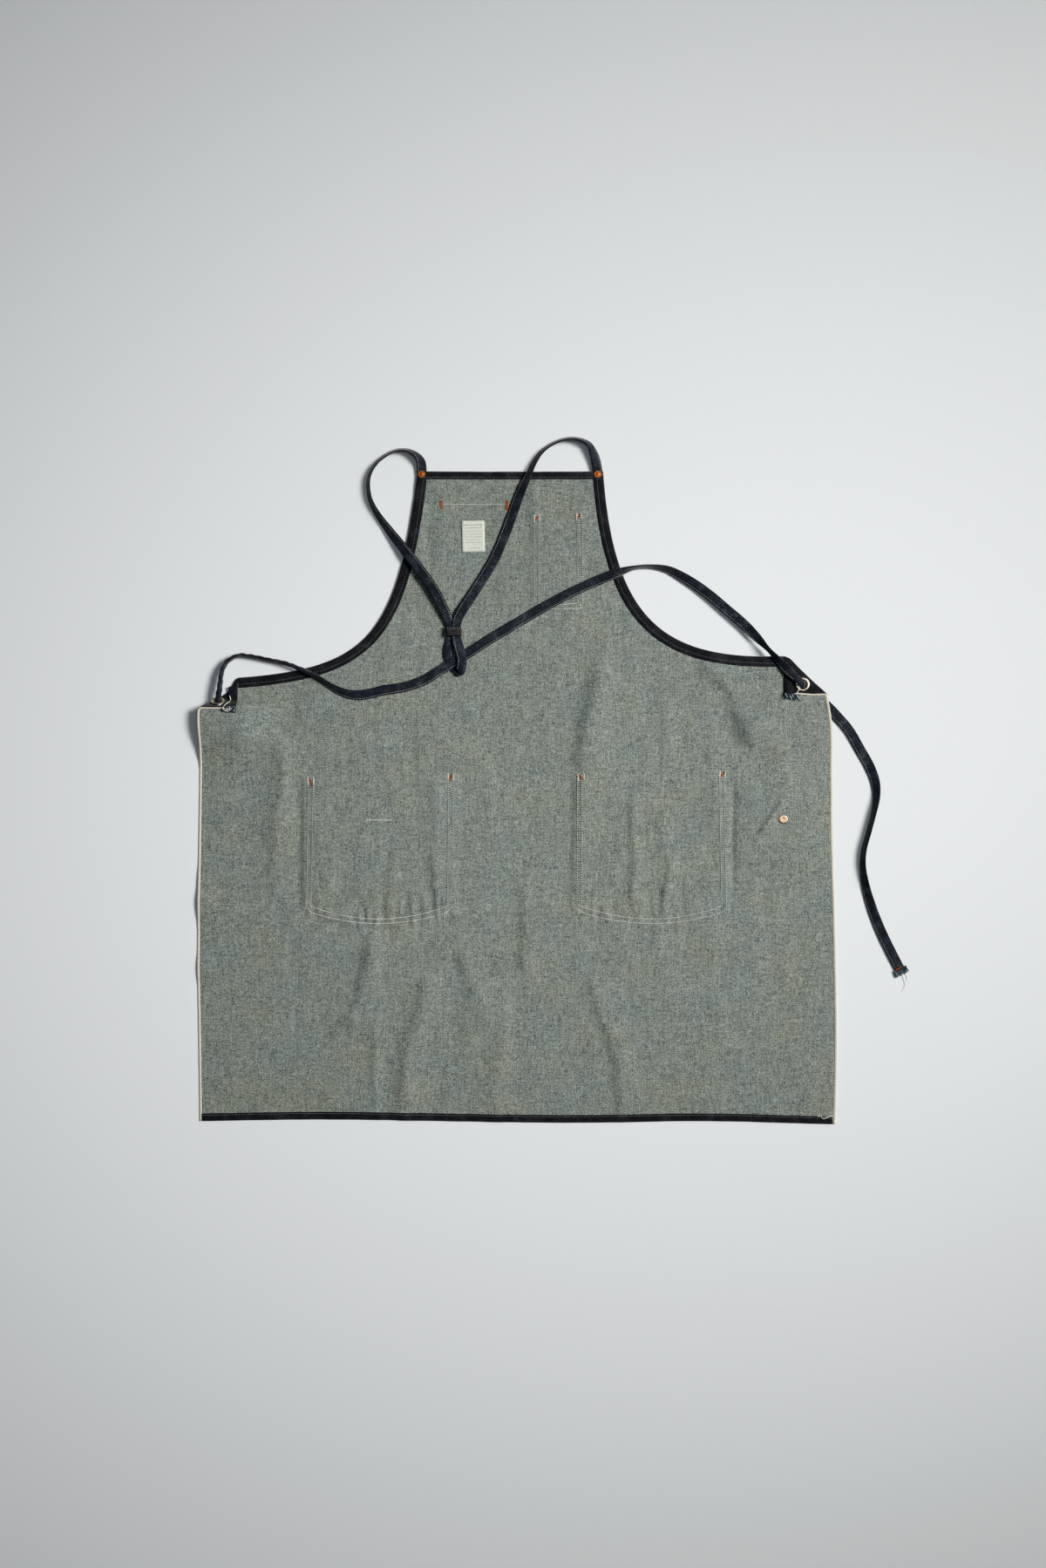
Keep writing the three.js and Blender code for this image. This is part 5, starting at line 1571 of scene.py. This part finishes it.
# Loose threads: on the cloth in plan, and on the floor at the tie's end
LOOSE_LIFT = STACK + 2.2 * MM
LOOSE_RADIUS = 0.7 * MM
FLOOR_RADIUS = 0.35 * MM
LOOSE_THREADS = [
    [(-0.3520, 0.1040), (-0.3505, 0.0985), (-0.3548, 0.0935), (-0.3580, 0.0890), (-0.3570, 0.0852),
     (-0.3520, 0.0845)],
    [(-0.3585, 0.0895), (-0.3560, 0.0868), (-0.3500, 0.0866), (-0.3470, 0.0880)],
    [(0.3456, 0.1145), (0.3440, 0.1100), (0.3410, 0.1062), (0.3385, 0.1060)],
    [(0.3880, -0.4112), (0.3830, -0.4118), (0.3780, -0.4137), (0.3750, -0.4145), (0.3724, -0.4110),
     (0.3686, -0.4119)],
]
FLOOR_THREADS = [
    [(0.4725, -0.237, 0.001), (0.4752, -0.246, 0.0006), (0.4762, -0.252, 0.0006), (0.4725, -0.2590, 0.0006)],
    [(0.4760, -0.236, 0.001), (0.4788, -0.242, 0.0006), (0.4782, -0.2470, 0.0006)],
]
loose = bmesh.new()
for points in LOOSE_THREADS:
    strand(loose, on_cloth(points, LOOSE_LIFT), LOOSE_RADIUS)
for points in FLOOR_THREADS:
    strand(loose, points, FLOOR_RADIUS)
piece("loose_threads", loose, "white_cotton", WHITE_THREAD)


# Metal
SPIN_STEPS = 48


def turned(name, profile, place, slope, slot, material):
    """A profile of radius and height spun about its axis and set on the cloth."""
    bm = bmesh.new()
    points = [bm.verts.new((radius * MM, 0, height * MM)) for radius, height in profile]
    edges = [bm.edges.new(pair) for pair in zip(points, points[1:])]
    bmesh.ops.spin(bm, geom=points + edges, cent=(0, 0, 0), axis=UP, angle=2 * math.pi, steps=SPIN_STEPS,
                   use_merge=True)
    bmesh.ops.remove_doubles(bm, verts=bm.verts, dist=1e-6)
    bmesh.ops.recalc_face_normals(bm, faces=bm.faces)
    height = float(lie(place[0], place[1]))
    spot = Matrix.Translation((*place, height)) @ Matrix.Rotation(-slope, 4, "X")
    bmesh.ops.transform(bm, matrix=spot, verts=bm.verts)
    made = piece(name + "_metal", bm, slot, material)
    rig.replaces(made, name)


# Profiles: radius and height above the panel's underside, in millimetres
RIVET_PROFILE = [
    (0, -2.3), (4.0, -2.3), (4.4, -2.0), (4.3, -1.4), (1.6, -1.3), (1.6, 2.4), (4.3, 2.45), (4.5, 2.7),
    (4.45, 3.1), (4.2, 3.3), (3.8, 3.35), (3.5, 3.25), (2.0, 3.3), (1.7, 3.45), (0, 3.5),
]
STUD_PROFILE = [
    (0, -3.9), (7.6, -3.9), (8.4, -3.4), (8.3, -2.2), (4.2, -0.4), (1.8, -0.3), (1.8, 1.2), (5.1, 1.25),
    (5.4, 1.6), (5.4, 2.1), (5.1, 2.5), (4.4, 2.65), (2.4, 2.7), (2.0, 2.6), (1.2, 2.55), (0, 2.55),
]
EYELET_PROFILE = [
    (5.0, -1.0), (5.4, -1.4), (8.4, -1.4), (8.8, -1.0), (8.7, -0.3), (5.8, -0.3), (5.8, 3.0), (8.7, 3.0),
    (8.85, 3.4), (8.2, 3.85), (6.9, 4.15), (5.6, 3.9), (5.0, 3.2), (5.0, -1.0),
]
turned("rivet_left", RIVET_PROFILE, LEFT_RIVET, 0, "copper", COPPER)
turned("rivet_right", RIVET_PROFILE, RIGHT_RIVET, 0, "copper", COPPER)
turned("side_stud", STUD_PROFILE, STUD_PLACE, 0, "copper", PALE_COPPER)
turned("eyelet_left", EYELET_PROFILE, LEFT_EYELET, LEFT_SLOPE, "brass", NICKEL)
turned("eyelet_right", EYELET_PROFILE, RIGHT_EYELET, 0, "brass", NICKEL)

# What each soft piece is
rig.cord(waist_tie, exit=tie_line[0], length=tie_length, diameter=11.5 * MM, far_end="bare", stiffness="limp",
        lay="loose", path=tie_line, with_pieces=[tie_stitches, tie_tack, *tie_frays])
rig.sheet(panel, flat=(0.78, 0.80), held="laid", area=0.4985, with_pieces=strips + flaps)
for made, row in zip(pockets, POCKETS):
    width = row["right"] - row["left"]
    height = row["top"] - row["side"]
    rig.sheet(made, flat=(width, height + row["sag"]), held="laid", rests_on=[panel],
             area=width * (height + row["sag"] * 2 / 3))
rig.sheet(label, flat=(LABEL["width"], LABEL["height"]), held="laid", rests_on=[panel])

# Floor, light and camera
FLOOR_HALF = 4
FLOOR_CELLS = 8
FLOOR_DROP = 0.2 * MM
AMBIENT = 0.09
floor_mesh = bmesh.new()
bmesh.ops.create_grid(floor_mesh, x_segments=FLOOR_CELLS, y_segments=FLOOR_CELLS, size=FLOOR_HALF)
bmesh.ops.translate(floor_mesh, verts=floor_mesh.verts, vec=(0, 0, -FLOOR_DROP))
floor_data = bpy.data.meshes.new("floor")
floor_mesh.to_mesh(floor_data)
floor_mesh.free()
floor = bpy.data.objects.new("floor", floor_data)
bpy.context.scene.collection.objects.link(floor)
paper = shader("white_paper", Base_Color=linear("edf3f7"), Roughness=0.95)[0]
floor_data.materials.append(paper)
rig.stage(floor)


def lamp(name, place, target, spread, size, power, tint):
    """Soft round light whose cone fades out at its edge, aimed at a point."""
    data = bpy.data.lights.new(name, "SPOT")
    data.spot_size = math.radians(spread)
    data.spot_blend = 1.0
    data.shadow_soft_size = size
    data.energy = power
    data.color = linear(tint)[:3]
    made = bpy.data.objects.new(name, data)
    bpy.context.scene.collection.objects.link(made)
    made.location = place
    made.rotation_euler = (Vector(target) - Vector(place)).to_track_quat("-Z", "Y").to_euler()


# Lights: name, place, target, width of the cone in degrees, size, watts, tint
lamp("key_light", (3.9, 1.0, 4.3), (0.2, 0.04, 0), 30.5, 1.3, 2300, "fffbf6")
lamp("top_light", (0.1, 0.2, 3.8), (0.0, 0.05, 0), 60, 0.9, 70, "f6faff")
world = bpy.data.worlds.new("studio")
world.use_nodes = True
sky = world.node_tree.nodes["Background"]
sky.inputs["Color"].default_value = linear("f4f2ee")
sky.inputs["Strength"].default_value = AMBIENT
bpy.context.scene.world = world
bpy.context.scene.view_settings.view_transform = "Khronos PBR Neutral"

camera_data = bpy.data.cameras.new("camera")
camera_data.lens = LENS
camera_data.sensor_fit = "VERTICAL"
camera_data.sensor_height = SENSOR_HEIGHT
camera = bpy.data.objects.new("camera", camera_data)
bpy.context.scene.collection.objects.link(camera)
camera.location = (CAMERA_X, CAMERA_Y, IMAGE_HEIGHT * PIXEL * LENS / SENSOR_HEIGHT)
bpy.context.scene.camera = camera

new_box = [list(corner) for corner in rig.bounds()]
with open("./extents.json", "w") as size_file:
    json.dump({"cad": cad_box, "visual": new_box}, size_file)
